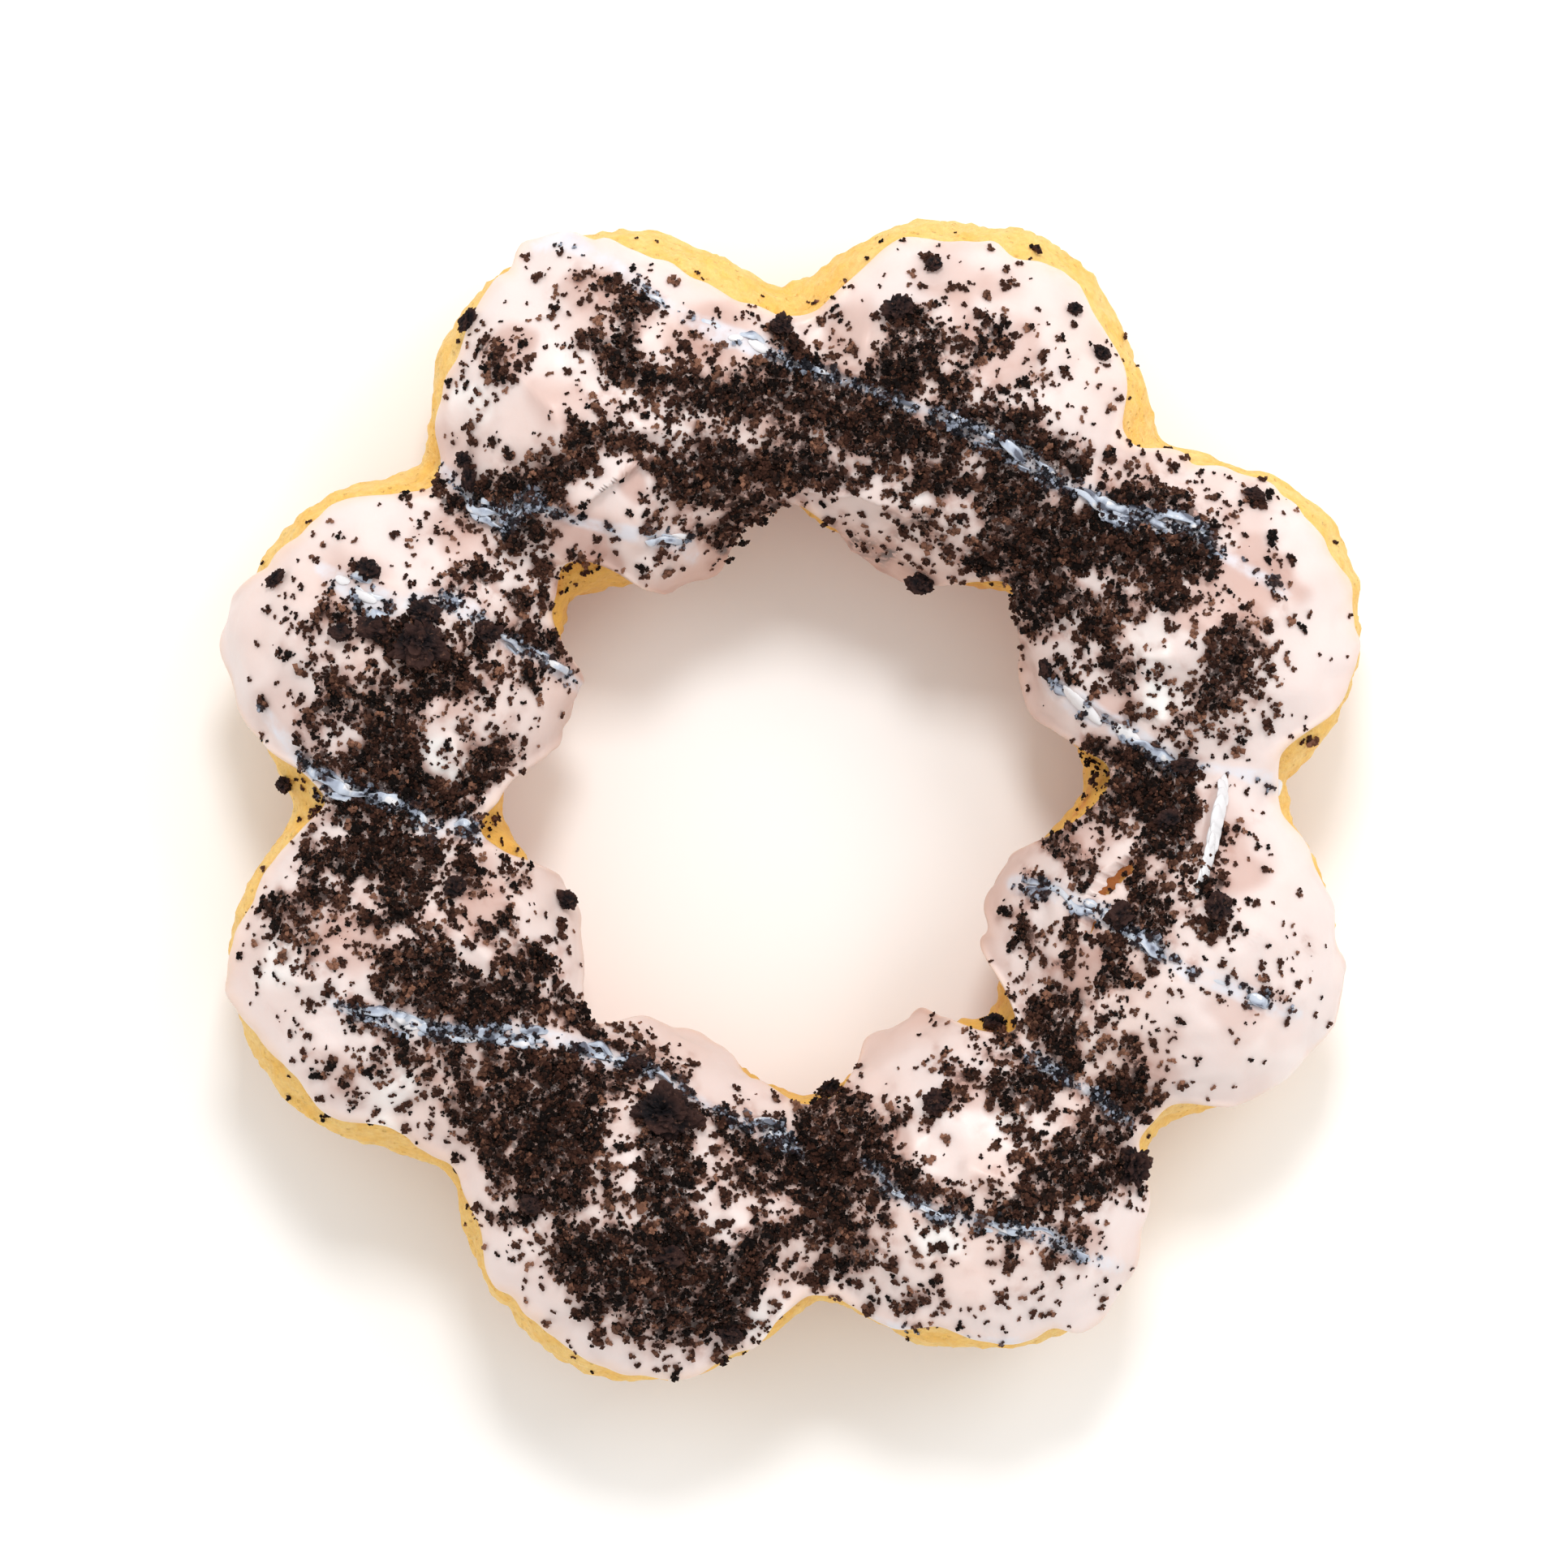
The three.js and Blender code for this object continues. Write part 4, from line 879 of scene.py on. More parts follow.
def icing_piece(material):
    """The icing, as a tube of sections that run over the top and back along the dough."""
    top, underside, edge = icing_sections()
    points = np.concatenate([top, underside], 1)
    faces = ring_faces(ICING_AROUND, points.shape[1])
    points = points.reshape(-1, 3)
    places = points[:, :2]
    reach = np.linalg.norm(places - RING_MIDDLE, axis=-1)
    inside = smooth((PAINTED_SHADE_REACH - reach) / PAINTED_SHADE_REACH_FADE)
    low = smooth((PAINTED_SHADE_HEIGHT - points[:, 2]) / PAINTED_SHADE_HEIGHT_FADE)
    around = np.arctan2(places[:, 1], places[:, 0])
    attributes = {
        "cover": crumb_cover(places),
        "milk": near_drizzle(places),
        "edge": np.concatenate([edge, np.ones(underside.shape[:-1])], 1).ravel(),
        # painted shade on the inner side of the icing, strongest where it faces away from the light
        "painted_inner_shade": inside * low * round_the_ring(PAINTED_SHADE_SIDES, around),
        "thin_and_painted_light": thin_icing_and_painted_light(places),
    }
    piece = mesh_piece("icing_coat", points, faces, material, attributes)
    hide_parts("icing")
    return piece


# ---------------------------------------------------------------- crumbs

GOLDEN = (1 + math.sqrt(5)) / 2
ICOSAHEDRON = unit(np.array([
    [-1, GOLDEN, 0], [1, GOLDEN, 0], [-1, -GOLDEN, 0], [1, -GOLDEN, 0], [0, -1, GOLDEN], [0, 1, GOLDEN],
    [0, -1, -GOLDEN], [0, 1, -GOLDEN], [GOLDEN, 0, -1], [GOLDEN, 0, 1], [-GOLDEN, 0, -1], [-GOLDEN, 0, 1],
]))
ICOSAHEDRON_FACES = np.array([
    [0, 11, 5], [0, 5, 1], [0, 1, 7], [0, 7, 10], [0, 10, 11], [1, 5, 9], [5, 11, 4], [11, 10, 2],
    [10, 7, 6], [7, 1, 8], [3, 9, 4], [3, 4, 2], [3, 2, 6], [3, 6, 8], [3, 8, 9], [4, 9, 5], [2, 4, 11],
    [6, 2, 10], [8, 6, 7], [9, 8, 1],
])
OCTAHEDRON = np.array([[1, 0, 0], [-1, 0, 0], [0, 1, 0], [0, -1, 0], [0, 0, 1], [0, 0, -1]], float)
OCTAHEDRON_FACES = np.array([
    [0, 2, 4], [2, 1, 4], [1, 3, 4], [3, 0, 4], [2, 0, 5], [1, 2, 5], [3, 1, 5], [0, 3, 5],
])


class Surface:
    """The top of the doughnut, for laying small things on it by their x and y."""

    def __init__(self, *pieces):
        points, faces, first = [], [], 0
        for piece in pieces:
            count = len(piece.data.vertices)
            flat = np.empty(count * 3, np.float32)
            piece.data.vertices.foreach_get("co", flat)
            corners = np.empty(len(piece.data.loops), np.int32)
            piece.data.loops.foreach_get("vertex_index", corners)
            points.append(flat.reshape(-1, 3) / MM)
            sides = len(corners) // len(piece.data.polygons)
            faces += (corners.reshape(-1, sides) + first).tolist()
            first += count
        self.tree = BVHTree.FromPolygons(np.concatenate(points).tolist(), faces)

    def under(self, places):
        """Points and normals of the surface under x, y places, and which places have one."""
        spots = np.zeros((len(places), 3))
        normals = np.tile([0.0, 0.0, 1.0], (len(places), 1))
        found = np.zeros(len(places), bool)
        down = Vector((0, 0, -1))
        for i, (x, y) in enumerate(places):
            spot, normal, _, _ = self.tree.ray_cast(Vector((x, y, RAY_HEIGHT)), down)
            if spot is not None and spot.z > LOWEST_TOPPING:
                spots[i] = spot
                normals[i] = normal if normal.z > 0 else -normal
                found[i] = True
        return spots, normals, found


def side_axes(normals, random):
    """Two directions across each normal, turned at random."""
    rough = unit(random.normal(size=normals.shape))
    first = unit(np.cross(normals, rough))
    return first, np.cross(normals, first)


def draw_places(count, keenness, random):
    """Random x, y places, as dense as the crumbs lie. Keenness over 1 draws them into the mats."""
    side = np.arange(-COVER_GRID, COVER_GRID, COVER_CELL)
    grid = np.stack(np.meshgrid(side, side, indexing="ij"), -1).reshape(-1, 2)
    reach = np.linalg.norm(grid - RING_MIDDLE, axis=-1)
    grid = grid[(reach > TOPPED_REACH[0]) & (reach < TOPPED_REACH[1])]
    crowd = (-np.log(1 - crumb_cover(grid))) ** keenness
    chosen = random.choice(len(grid), count, p=crowd / crowd.sum())
    return grid[chosen] + random.uniform(-COVER_CELL / 2, COVER_CELL / 2, (count, 2))


def scattered_mesh(centres, radii, normals, random):
    """One mesh of many uneven eight-sided grains, each pressed a little flat along its normal."""
    count, corners = len(centres), len(OCTAHEDRON)
    pulls = 1 + GRAIN_UNEVENNESS * random.uniform(-1, 1, (count, corners, 1))
    first, second = side_axes(normals, random)
    frames = np.stack([first, second, normals * GRAIN_FLATNESS], 1)
    spin = random.uniform(0, 2 * math.pi, count)
    cos, sin = np.cos(spin)[:, None], np.sin(spin)[:, None]
    shape = OCTAHEDRON[None] * pulls * radii[:, None, None]
    tilted = np.stack([
        shape[..., 0],
        shape[..., 1] * cos - shape[..., 2] * sin,
        shape[..., 1] * sin + shape[..., 2] * cos,
    ], -1)
    points = np.einsum("nki,nij->nkj", tilted, frames) + centres[:, None]
    faces = OCTAHEDRON_FACES[None] + (np.arange(count) * corners)[:, None, None]
    return points.reshape(-1, 3), faces.reshape(-1, 3)


def knots(widths, radii, random):
    """Middles of the grains of each crumb: each clings to the first, or in a ragged one to any earlier."""
    count, grains = radii.shape
    middles = np.zeros((count, grains, 3))
    rows = np.arange(count)
    for grain in range(1, grains):
        rounded = random.uniform(0, 1, count) < ROUNDED_CRUMBS
        held_by = np.where(rounded, 0, random.integers(0, grain, count))
        turn = random.uniform(0, 2 * math.pi, count)
        step = GRAIN_STEP * (radii[rows, held_by] + radii[:, grain])
        rise = random.uniform(*GRAIN_RISE, count)
        direction = np.stack([np.cos(turn), np.sin(turn), rise], -1)
        middles[:, grain] = middles[rows, held_by] + direction * step[:, None]
    middles -= middles.mean(1, keepdims=True)
    reach = (np.linalg.norm(middles, axis=-1) + radii).max(1)
    return middles * np.minimum(1, CRUMB_REACH * widths / reach)[:, None, None]


def crumb_kind(name, surface, material, random):
    """One kind of crumb: each a knot of grains that lies on the icing, heaped where they are dense."""
    count, smallest, largest, grains, radius_share, keenness = CRUMB_KINDS[name]
    places = draw_places(count, keenness, random)
    spots, normals, found = surface.under(places)
    kept = found & (normals[:, 2] > random.uniform(*CRUMB_FOOTING, len(found)))
    spots, normals, places = spots[kept], normals[kept], places[kept]
    widths = smallest + (largest - smallest) * random.uniform(0, 1, len(spots)) ** SMALLNESS
    radii = widths[:, None] * random.uniform(*radius_share, (len(spots), grains))
    dense = ramp(crumb_cover(places), *MATS)
    lift = widths * CRUMB_SEAT + PILE_HEIGHT * dense * random.uniform(0, 1, len(spots)) ** PILE_LOWNESS
    first, second = side_axes(normals, random)
    frames = np.stack([first, second, normals], 1)
    knot = np.einsum("ngi,nij->ngj", knots(widths, radii, random), frames)
    centres = (spots + normals * lift[:, None])[:, None] + knot
    grain_normals = np.repeat(normals, grains, 0)
    points, faces = scattered_mesh(centres.reshape(-1, 3), radii.ravel(), grain_normals, random)

    shade = random.normal(*CRUMB_SHADE, (len(spots), 1))
    shade = shade + random.normal(0, GRAIN_SHADE, (len(spots), grains))
    shade = shade - MAT_SHADE * dense[:, None]
    beside = near_drizzle(places)
    milk = beside[:, None] * (random.uniform(0, 1, (len(spots), grains)) < MILKY_GRAINS)
    corners = len(OCTAHEDRON)
    attributes = {
        "shade": np.repeat(np.clip(shade, 0, 1).ravel(), corners),
        "milk": np.repeat(milk.ravel(), corners),
        "wet": np.repeat(beside, grains * corners),
    }
    return mesh_piece(name, points, faces, material, attributes, flat=True)


def fine_sphere(divisions):
    """An icosahedron whose faces are split into four, again and again, as points and faces."""
    points, faces = ICOSAHEDRON.tolist(), ICOSAHEDRON_FACES.tolist()
    for _ in range(divisions):
        middles, split = {}, []

        def middle(a, b):
            key = (min(a, b), max(a, b))
            if key not in middles:
                middles[key] = len(points)
                points.append([(p + q) / 2 for p, q in zip(points[a], points[b])])
            return middles[key]

        for a, b, c in faces:
            ab, bc, ca = middle(a, b), middle(b, c), middle(c, a)
            split += [[a, ab, ca], [b, bc, ab], [c, ca, bc], [ab, bc, ca]]
        faces = split
        points = unit(np.array(points)).tolist()
    return np.array(points), np.array(faces)


def lump(row, spot, normal, first):
    """A rough broken bit of cookie that lies flat: its points, its faces, and its shade."""
    _, _, width, length, turn = row
    base, faces = fine_sphere(SPHERE_DIVISIONS + int(width > LARGE_LUMP))
    rough = layered(base + first, LUMP_ROUGHNESS)
    chips = layered(base + first, LUMP_CHIPS)
    half = width / 2 / math.sqrt(length)
    broken = base * (1 + rough + chips)[:, None] * [half * length, half, half * 2 * LUMP_FLATNESS]
    points = spot + normal * (half * LUMP_SEAT + LUMP_RISE) + broken @ turned_axes(normal, turn)
    usual, paler, palest = LUMP_SHADES
    return points, faces, np.clip(usual + paler * (rough + chips), 0, palest)


def lump_piece(surface, material):
    """The large crumbs. How many points came before a crumb seeds its roughness."""
    rows = np.array(LUMPS)
    spots, normals, found = surface.under(from_photo(rows[:, :2]))
    made, first = [], 0
    for row, spot, normal in zip(rows[found], spots[found], normals[found]):
        made.append(lump(row, spot, normal, first))
        first += len(made[-1][0])
    points, faces, shade = joined(made)
    attributes = {"shade": shade, "milk": 0 * shade, "wet": 0 * shade + LUMP_WETNESS}
    return mesh_piece("cookie_lumps", points, faces, material, attributes, flat=True)


# ---------------------------------------------------------------- drizzle


def longest_run(spots, kept):
    """The longest row of the kept spots that has no wide gap in it."""
    left = np.flatnonzero(kept)
    if len(left) < 2:
        return left
    gaps = np.linalg.norm(np.diff(spots[left], axis=0), axis=1)
    return max(np.split(left, np.flatnonzero(gaps > DRIZZLE_GAP) + 1), key=len)


def strand_route(stroke, shift, share, seed):
    """A strand from above: its places, how far along it each is, their marks for noise, and its radii."""
    pixels = np.array(stroke, float)
    line = from_photo(pixels[:, :2])
    travelled = np.append(0, np.cumsum(np.linalg.norm(np.diff(line, axis=0), axis=1)))
    stops = np.arange(0, travelled[-1], DRIZZLE_STEP)
    route = np.stack([np.interp(stops, travelled, line[:, i]) for i in (0, 1)], -1)
    width = np.interp(stops, travelled, pixels[:, 2]) * PHOTO_MM
    ahead = unit(np.gradient(route, axis=0))
    aside = np.stack([-ahead[:, 1], ahead[:, 0]], -1)
    marks = flat_points(route + seed)
    wander = STRAND_WANDER[0] * width * noise(marks, STRAND_WANDER[1], seed)
    wander = wander + STRAND_TREMBLE[0] * noise(marks, STRAND_TREMBLE[1], seed + 1) + shift * width
    patchy = np.clip(layered(marks, STRAND_PATCHES, seed, STRAND_SHARE), 0.0, FULLEST_STRAND)
    ends = smooth(np.minimum(stops, travelled[-1] - stops) / STRAND_END)
    radius = np.maximum(width * patchy * ends * share, THINNEST_STRAND)
    return route + aside * wander[:, None], stops, marks, radius


def tube_faces(rings, count):
    """Triangles of a tube of rings. The last two points are the middles of the caps at its ends."""
    here = np.arange(rings - 1)[:, None] * DRIZZLE_SIDES
    j = np.arange(DRIZZLE_SIDES)[None]
    k = (j + 1) % DRIZZLE_SIDES
    there = here + DRIZZLE_SIDES
    sides = np.stack([here + j, here + k, there + k, there + j], -1).reshape(-1, 4)
    start, end = count - 2, count - 1
    last = (rings - 1) * DRIZZLE_SIDES
    caps = [[start, b, a] for a, b in zip(j[0], k[0])]
    caps += [[end, last + a, last + b] for a, b in zip(j[0], k[0])]
    return np.concatenate([sides[:, [0, 1, 2]], sides[:, [0, 2, 3]], np.array(caps)])


def strand(stroke, surface, shift, share, seed):
    """A strand of a stroke as a flattened tube on the icing: its points, faces, and how clear it is."""
    route, stops, marks, radius = strand_route(stroke, shift, share, seed)
    spots, normals, found = surface.under(route)
    kept = longest_run(spots, found & (normals[:, 2] > DRIZZLE_FOOTING))
    if len(kept) < SHORTEST_STRAND:
        return None
    spots, normals, radius, marks, stops = (a[kept] for a in (spots, normals, radius, marks, stops))
    covered = crumb_cover(spots[:, :2])
    on_crumbs = ramp(covered, *DRIZZLE_FELT)
    radius = radius * (DRIZZLE_ON_ICING + (1 - DRIZZLE_ON_ICING) * on_crumbs)
    height = (DRIZZLE_LIFT + PILE_HEIGHT * ramp(covered, *DRIZZLE_HEAP)) * smooth(radius / DRIZZLE_THICK)
    lift = height * layered(marks, DRIZZLE_WAVES, seed, DRIZZLE_LEVEL) - DRIZZLE_SINK
    middles = spots + normals * lift[:, None]
    for _ in range(DRIZZLE_EASING):
        middles[1:-1] = (middles[:-2] + 2 * middles[1:-1] + middles[2:]) / 4
    ahead = unit(np.gradient(middles, axis=0))
    aside = unit(np.cross(normals, ahead))
    up = np.cross(ahead, aside)
    turns = np.linspace(0, 2 * math.pi, DRIZZLE_SIDES, endpoint=False)
    cos, sin = np.cos(turns), np.sin(turns)
    wide = aside[:, None] * (cos[None, :, None] * radius[:, None, None])
    high = up[:, None] * (sin[None, :, None] * radius[:, None, None] * DRIZZLE_FLATNESS)
    skins = middles[:, None] + wide + high
    length, turning = STREAK_SIZE
    streaks = np.stack(np.broadcast_arrays(stops[:, None] / length, cos * turning, sin * turning), -1)
    streaky = STREAK_CLEARNESS + STREAK_CONTRAST * noise(streaks, 1.0, seed + 6)
    streaky = streaky + STREAK_GRAIN[0] * noise(skins, STREAK_GRAIN[1], seed + 7)
    clear = np.clip(WHITE_CLEARNESS + (streaky - WHITE_CLEARNESS) * on_crumbs[:, None], 0, 1)
    bumpy = layered(skins, DRIZZLE_BUMPS, seed, 1)
    skins = middles[:, None] + (skins - middles[:, None]) * bumpy[..., None]
    points = np.concatenate([skins.reshape(-1, 3), middles[[0, -1]]])
    return points, tube_faces(len(middles), len(points)), np.append(clear.ravel(), [END_CLEARNESS] * 2)


def drop(row, surface):
    """A smooth drop of glaze, long and flat: its points, faces, and how clear it is."""
    x, y, length, width, turn = row
    along = np.outer(DROP_FEELERS, heading(turn)[:2] * length)
    spots, normals, found = surface.under(from_photo([(x, y)]) + along)
    if not found.all():
        return None
    spot, normal = spots.mean(0), unit(normals.mean(0))
    base, faces = fine_sphere(SPHERE_DIVISIONS)
    uneven = layered(base + x, DROP_BUMPS, level=1)
    sized = base * uneven[:, None] * [length / 2, width / 2, width * DROP_FLATNESS / 2]
    points = spot + normal * DROP_SEAT * width + sized @ turned_axes(normal, turn)
    return points, faces, np.zeros(len(points))


def drizzle_piece(surface, material):
    """The strokes of drizzle, each of some strands, and the drops."""
    made = [drop(row, surface) for row in DROPS]
    for number, stroke in enumerate(STROKES):
        for shift, share, seed in STRANDS:
            made.append(strand(stroke, surface, shift, share, seed + NEXT_STROKE * number))
    points, faces, clear = joined([part for part in made if part])
    return mesh_piece("milky_drizzle", points, faces, material, {"clear": clear})


# ---------------------------------------------------------------- materials


class Nodes:
    """A new material and short ways to add and join its nodes."""

    def __init__(self, name):
        self.material = bpy.data.materials.new(name)
        self.material.use_nodes = True
        self.tree = self.material.node_tree
        self.shader = self.tree.nodes["Principled BSDF"]
        self.place = self.add("ShaderNodeTexCoord").outputs["Object"]

    def add(self, kind, **settings):
        node = self.tree.nodes.new(kind)
        for key, value in settings.items():
            setattr(node, key, value)
        return node

    def put(self, socket, value):
        """Joins an output to a socket, or sets the socket's own value."""
        if isinstance(value, bpy.types.NodeSocket):
            self.tree.links.new(value, socket)
        else:
            socket.default_value = value

    def noise(self, size, detail, roughness=0.55):
        """Noise whose lumps are size mm across."""
        node = self.add("ShaderNodeTexNoise")
        self.put(node.inputs["Vector"], self.place)
        node.inputs["Scale"].default_value = 0.5 / (size * MM)
        node.inputs["Detail"].default_value = detail
        node.inputs["Roughness"].default_value = roughness
        return node.outputs["Fac"]

    def cells(self, size):
        """Distance to the middles of cells that are size mm across."""
        node = self.add("ShaderNodeTexVoronoi")
        self.put(node.inputs["Vector"], self.place)
        node.inputs["Scale"].default_value = 1 / (size * MM)
        return node.outputs["Distance"]

    def spread(self, value, low, high, start=0.0, end=1.0):
        """Maps low to high on to start to end, and holds outside it."""
        node = self.add("ShaderNodeMapRange", interpolation_type="SMOOTHSTEP")
        for socket, number in zip(node.inputs[:5], (value, low, high, start, end)):
            self.put(socket, number)
        return node.outputs["Result"]

    def patches(self, size, detail, low, high, start=0.0, end=1.0):
        """Noise spread from start to end."""
        return self.spread(self.noise(size, detail), low, high, start, end)

    def sums(self, operation, first, second):
        """Two values added, multiplied and so on, by the name of the operation."""
        node = self.add("ShaderNodeMath", operation=operation)
        self.put(node.inputs[0], first)
        self.put(node.inputs[1], second)
        return node.outputs[0]

    def mix(self, share, first, second):
        """The first colour, going over to the second one by that share."""
        node = self.add("ShaderNodeMix", data_type="RGBA")
        self.put(node.inputs["Factor"], share)
        self.put(node.inputs[6], first)
        self.put(node.inputs[7], second)
        return node.outputs[2]

    def tint(self, colour, name, share, strength=None):
        """The colour, going over to the named one by that share, or by that share times a strength."""
        if strength is not None:
            share = self.sums("MULTIPLY", share, strength)
        return self.mix(share, colour, COLOURS[name])

    def attribute(self, name):
        """A value that the mesh holds for each of its points."""
        return self.add("ShaderNodeAttribute", attribute_name=name).outputs["Fac"]

    def height(self):
        """The place's height over the table, in metres."""
        node = self.add("ShaderNodeSeparateXYZ")
        self.put(node.inputs[0], self.place)
        return node.outputs["Z"]

    def bump(self, height, depth):
        """A bump of height 0 to 1, depth mm deep."""
        node = self.add("ShaderNodeBump")
        node.inputs["Strength"].default_value = 1.0
        node.inputs["Distance"].default_value = depth * MM
        self.put(node.inputs["Height"], height)
        return node.outputs["Normal"]

    def glow(self, weight, spread):
        """Lets that share of the light in, to spread so many mm for red, green and blue."""
        radius = tuple(reach * MM for reach in spread)
        self.finish(Subsurface_Weight=weight, Subsurface_Radius=radius, Subsurface_Scale=1.0)

    def finish(self, **values):
        """Sets the shader's inputs, whose names have _ for a space, and gives the material."""
        for name, value in values.items():
            self.put(self.shader.inputs[name.replace("_", " ")], value)
        return self.material


def dough_material():
    """Fried crust: pale yellow outside, golden inside and brown low down in the hole, with fine pores."""
    n = Nodes("fried_crust")
    ragged = n.patches(4.0, 4, 0.3, 0.7, -CRUST_RAGGEDNESS * MM, CRUST_RAGGEDNESS * MM)
    level = n.sums("ADD", n.height(), ragged)
    below = n.spread(level, CRUST_BAND[0] * MM, CRUST_BAND[1] * MM)
    mottled = n.spread(n.noise(1.3, 5, 0.65), 0.35, 0.7)
    pale = n.tint(COLOURS["crust_pale"], "crust_gold", mottled)
    golden = n.tint(COLOURS["crust_gold"], "crust_brown", n.patches(2.0, 4, 0.5, 0.8))
    colour = n.mix(n.sums("MULTIPLY", n.attribute("inwards"), 0.85), pale, golden)
    inside_below = n.sums("MULTIPLY", below, n.spread(n.attribute("inwards"), 0.0, 1.0, 0.4, 1.0))
    colour = n.tint(colour, "crust_brown", inside_below)
    colour = n.tint(colour, "crust_speck", n.spread(n.noise(0.28, 4, 0.7), 0.35, 0.65), 0.28)
    colour = n.tint(colour, "crust_deep", n.attribute("split"))
    grainy = n.noise(0.45, 5, 0.7)
    pores = n.spread(n.cells(PORE_SIZE), 0.0, 0.3)
    relief = n.sums("ADD", grainy, n.sums("MULTIPLY", pores, 0.6))
    n.glow(0.15, CRUST_GLOW)
    return n.finish(
        Base_Color=colour,
        Roughness=n.spread(grainy, 0.3, 0.7, 0.5, 0.75),
        Specular_IOR_Level=0.35,
        Normal=n.bump(relief, CRUST_DEPTH),
    )


def icing_material():
    """Set icing: satin, very pale pink, thin at its edge, with painted shade and highlights, crumb-stained
    with painted shade round the crumbs, milky by the drizzle.
    """
    n = Nodes("pink_icing")
    cover, thin_and_painted_light = n.attribute("cover"), n.attribute("thin_and_painted_light")
    colour = n.tint(COLOURS["icing"], "icing_thin", n.patches(7.0, 3, 0.35, 0.7))
    see_through = n.sums("MULTIPLY", n.attribute("edge"), n.patches(1.6, 3, 0.3, 0.65, 0.15, 0.8))
    colour = n.tint(colour, "icing_edge", see_through)
    # Thin icing with painted shade darkens it, and painted highlights make it paler.
    colour = n.tint(colour, "icing_shaded", n.spread(thin_and_painted_light, 0.0, 1.0, 0.0, 0.85))
    colour = n.tint(colour, "icing_painted_highlight", n.spread(thin_and_painted_light, 0.0, -1.0))
    # warm shade painted on the icing's inner side
    colour = n.tint(colour, "icing_painted_inner_shade", n.attribute("painted_inner_shade"), 0.75)
    # A crumb stain with painted shade darkens the icing round the crumbs.
    stain_and_shade = n.sums("MULTIPLY", n.spread(cover, 0.06, 0.8), n.patches(0.5, 4, 0.25, 0.6))
    colour = n.tint(colour, "icing_stain_and_shade", stain_and_shade, 0.8)
    dust = n.sums("MULTIPLY", n.spread(cover, 0.55, 0.97), n.spread(n.noise(0.28, 4, 0.6), 0.42, 0.52))
    colour = n.tint(colour, "crumb", dust)
    milky = n.sums("MULTIPLY", n.attribute("milk"), n.patches(0.9, 4, 0.3, 0.7, 0.15, 0.85))
    colour = n.tint(colour, "milk_film", milky)
    relief = n.sums("ADD", n.noise(1.5, 3), n.sums("MULTIPLY", n.noise(0.3, 2), 0.25))
    n.glow(0.25, ICING_GLOW)
    return n.finish(
        Base_Color=colour,
        Roughness=n.patches(2.5, 4, 0.3, 0.7, 0.36, 0.52),
        Specular_IOR_Level=0.4,
        Coat_Weight=0.1,
        Coat_Roughness=0.3,
        Normal=n.bump(relief, ICING_DEPTH),
    )


def crumb_material():
    """Chocolate cookie: near black to brown from grain to grain, and wet and bluish beside the drizzle."""
    n = Nodes("cookie_crumb")
    shade, wet = n.attribute("shade"), n.attribute("wet")
    colour = n.tint(COLOURS["crumb_dark"], "crumb", n.spread(shade, 0.0, 0.45))
    colour = n.tint(colour, "crumb_light", n.spread(shade, 0.5, 1.0))
    colour = n.tint(colour, "crumb_light", n.spread(n.noise(0.22, 4, 0.7), 0.56, 0.72), 0.6)
    colour = n.tint(colour, "crumb_wet", wet, 0.6)
    milky = n.sums("MULTIPLY", n.attribute("milk"), n.patches(0.4, 3, 0.35, 0.6))
    colour = n.tint(colour, "crumb_milky", milky)
    return n.finish(
        Base_Color=colour,
        Roughness=n.spread(wet, 0.2, 1.0, 0.85, 0.4),
        Specular_IOR_Level=0.14,
        Normal=n.bump(n.noise(0.16, 4, 0.7), CRUMB_DEPTH),
    )


def drizzle_material():
    """Thin milky glaze: glossy, greyish white, with clearer streaks that let the dark crumbs show."""
    n = Nodes("milky_glaze")
    clear = n.attribute("clear")
    colour = n.tint(COLOURS["milk_white"], "milk", n.spread(clear, 0.02, 0.2))
    colour = n.tint(colour, "milk_thin", n.spread(clear, 0.4, 0.7))
    colour = n.tint(colour, "milk_clear", n.spread(clear, 0.72, 0.95))
    n.glow(0.2, GLAZE_GLOW)
    return n.finish(
        Base_Color=colour,
        Roughness=n.patches(0.6, 3, 0.3, 0.7, 0.15, 0.35),
        Specular_IOR_Level=0.5,
        Normal=n.bump(n.noise(0.3, 3), GLAZE_DEPTH),
    )


# ---------------------------------------------------------------- stage


def floor_stage():
    """The table top, a wide square just under the doughnut."""
    mesh = bpy.data.meshes.new("table_top")
    corners = [(TABLE_HALF * x * MM, TABLE_HALF * y * MM, -TABLE_GAP * MM) for x, y in SQUARE]
    mesh.from_pydata(corners, [], [(0, 1, 2, 3)])
    n = Nodes("white_board")
    mesh.materials.append(n.finish(Base_Color=COLOURS["floor"], Roughness=0.7, Specular_IOR_Level=0.2))
    floor = bpy.data.objects.new("table_top", mesh)
    bpy.context.scene.collection.objects.link(floor)


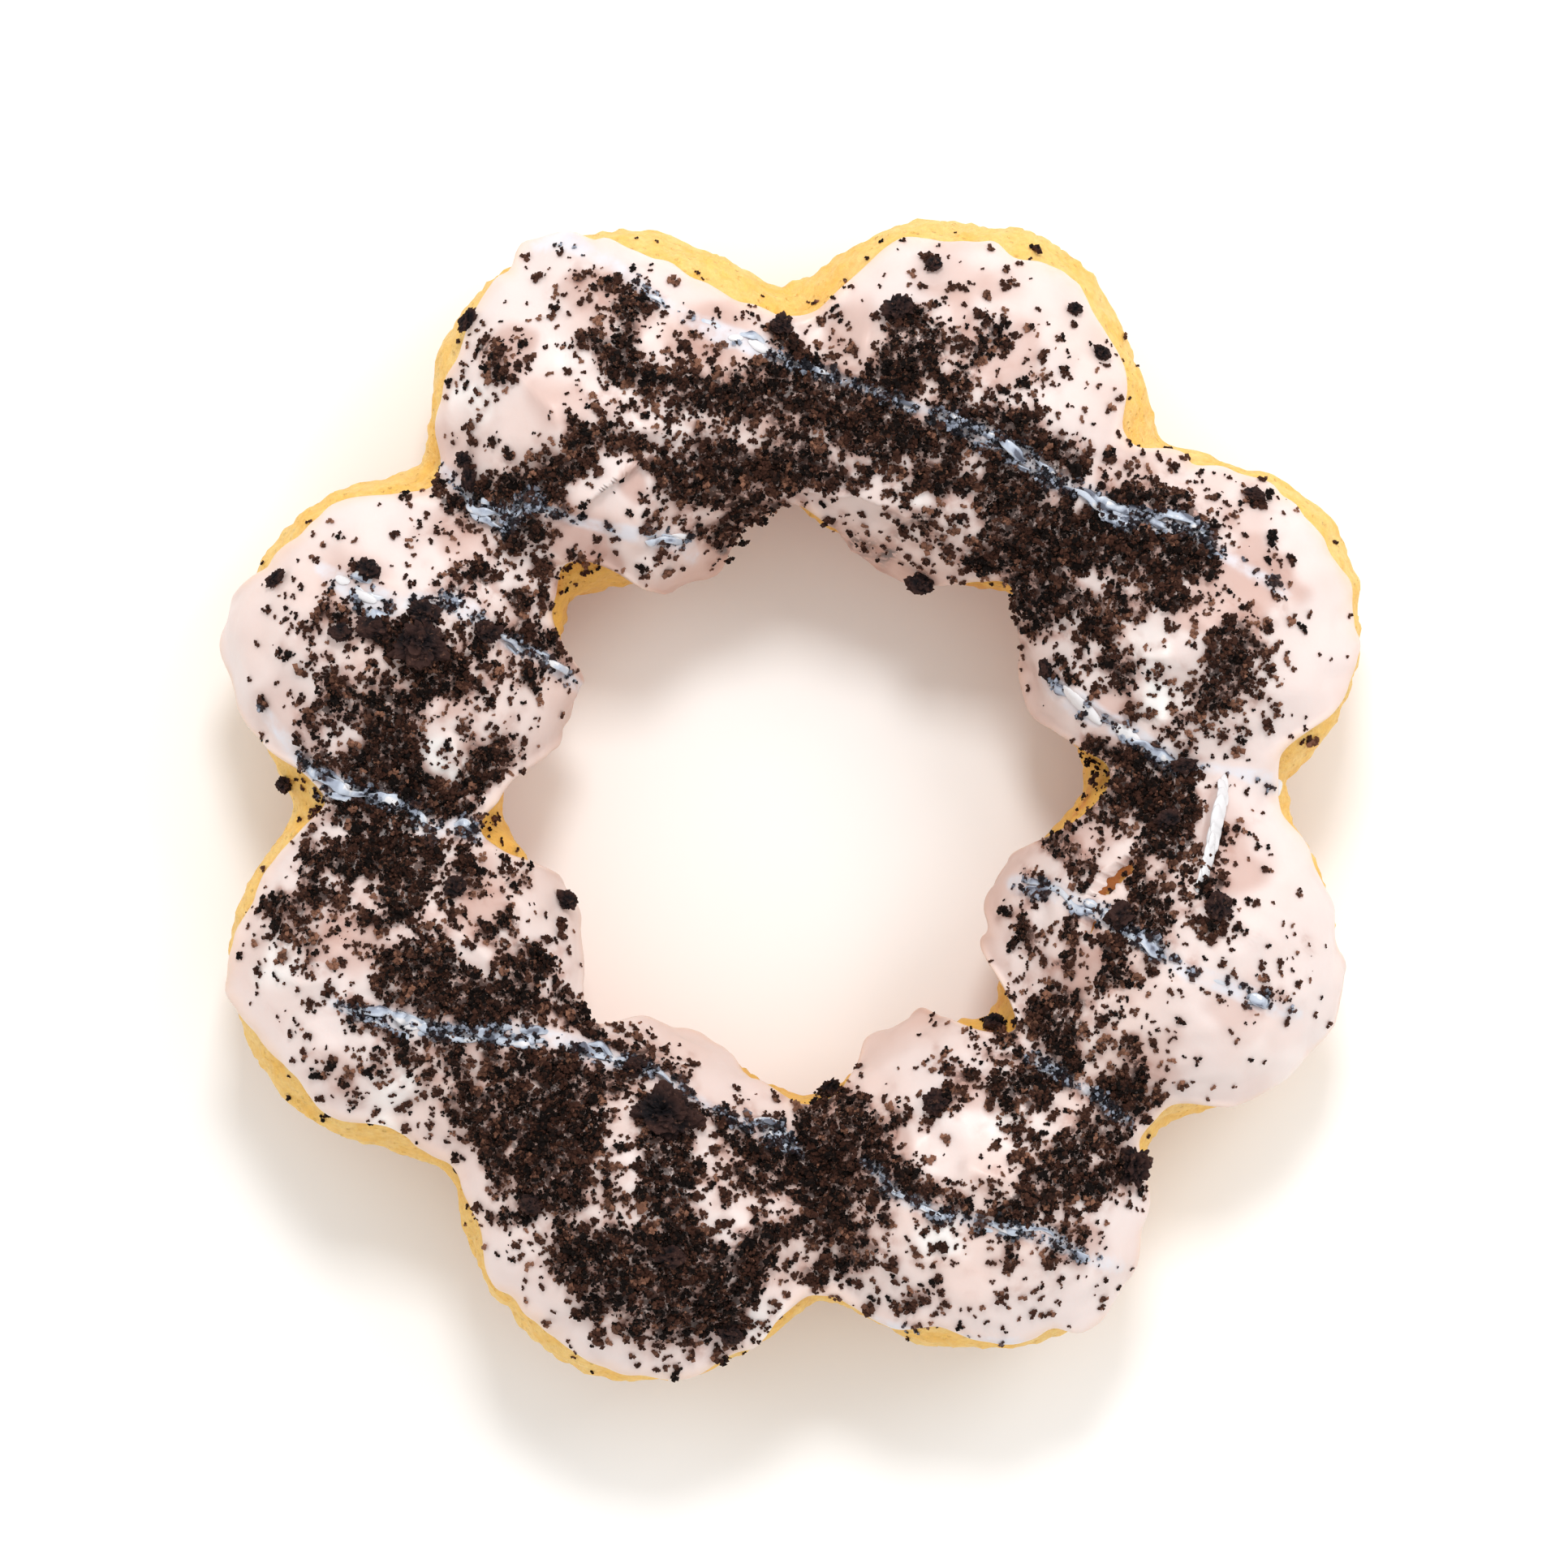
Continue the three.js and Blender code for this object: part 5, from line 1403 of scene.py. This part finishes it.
def soft_light(name, azimuth, elevation, size, power):
    """A square soft box, size mm wide, that looks at the middle of the doughnut."""
    lamp = bpy.data.lights.new(name, "AREA")
    lamp.size = size * MM
    lamp.energy = power
    light = bpy.data.objects.new(name, lamp)
    turn, rise = math.radians(azimuth), math.radians(elevation)
    away = Vector((math.cos(turn) * math.cos(rise), math.sin(turn) * math.cos(rise), math.sin(rise)))
    light.location = away * LIGHT_DISTANCE * MM
    light.rotation_euler = (-away).to_track_quat("-Z", "Y").to_euler()
    light.visible_camera = False
    bpy.context.scene.collection.objects.link(light)


def sky(strength):
    """Even white light from all round."""
    world = bpy.data.worlds.new("soft_fill")
    world.use_nodes = True
    background = world.node_tree.nodes["Background"]
    background.inputs["Color"].default_value = (1.0, 1.0, 1.0, 1.0)
    background.inputs["Strength"].default_value = strength
    bpy.context.scene.world = world


def camera():
    """Straight down, with the photograph's frame at the height of the balls' widest line."""
    lens = SENSOR_WIDTH * (CAMERA_HEIGHT - EQUATOR) / (PHOTO_WIDTH * PHOTO_MM)
    data = bpy.data.cameras.new("camera")
    data.sensor_width = SENSOR_WIDTH
    data.lens = lens
    data.clip_start, data.clip_end = (reach * MM for reach in CAMERA_CLIP)
    shooter = bpy.data.objects.new("camera", data)
    shooter.location = (CAMERA_AXIS[0] * MM, CAMERA_AXIS[1] * MM, CAMERA_HEIGHT * MM)
    bpy.context.scene.collection.objects.link(shooter)
    bpy.context.scene.camera = shooter


# ---------------------------------------------------------------- the doughnut on its table

camera()
floor_stage()
soft_light("key", azimuth=88, elevation=60, size=160.0, power=2.6)
soft_light("side", azimuth=32, elevation=50, size=300.0, power=1.15)
sky(SKY_STRENGTH)
bpy.context.scene.view_settings.view_transform = "Standard"

dough = dough_piece(dough_material())
icing = icing_piece(icing_material())
top_surface = Surface(dough, icing)
crumbs = crumb_material()
random = np.random.default_rng(CRUMB_SEED)
lump_piece(top_surface, crumbs)
for kind in CRUMB_KINDS:
    crumb_kind(kind, top_surface, crumbs, random)
drizzle_piece(top_surface, drizzle_material())
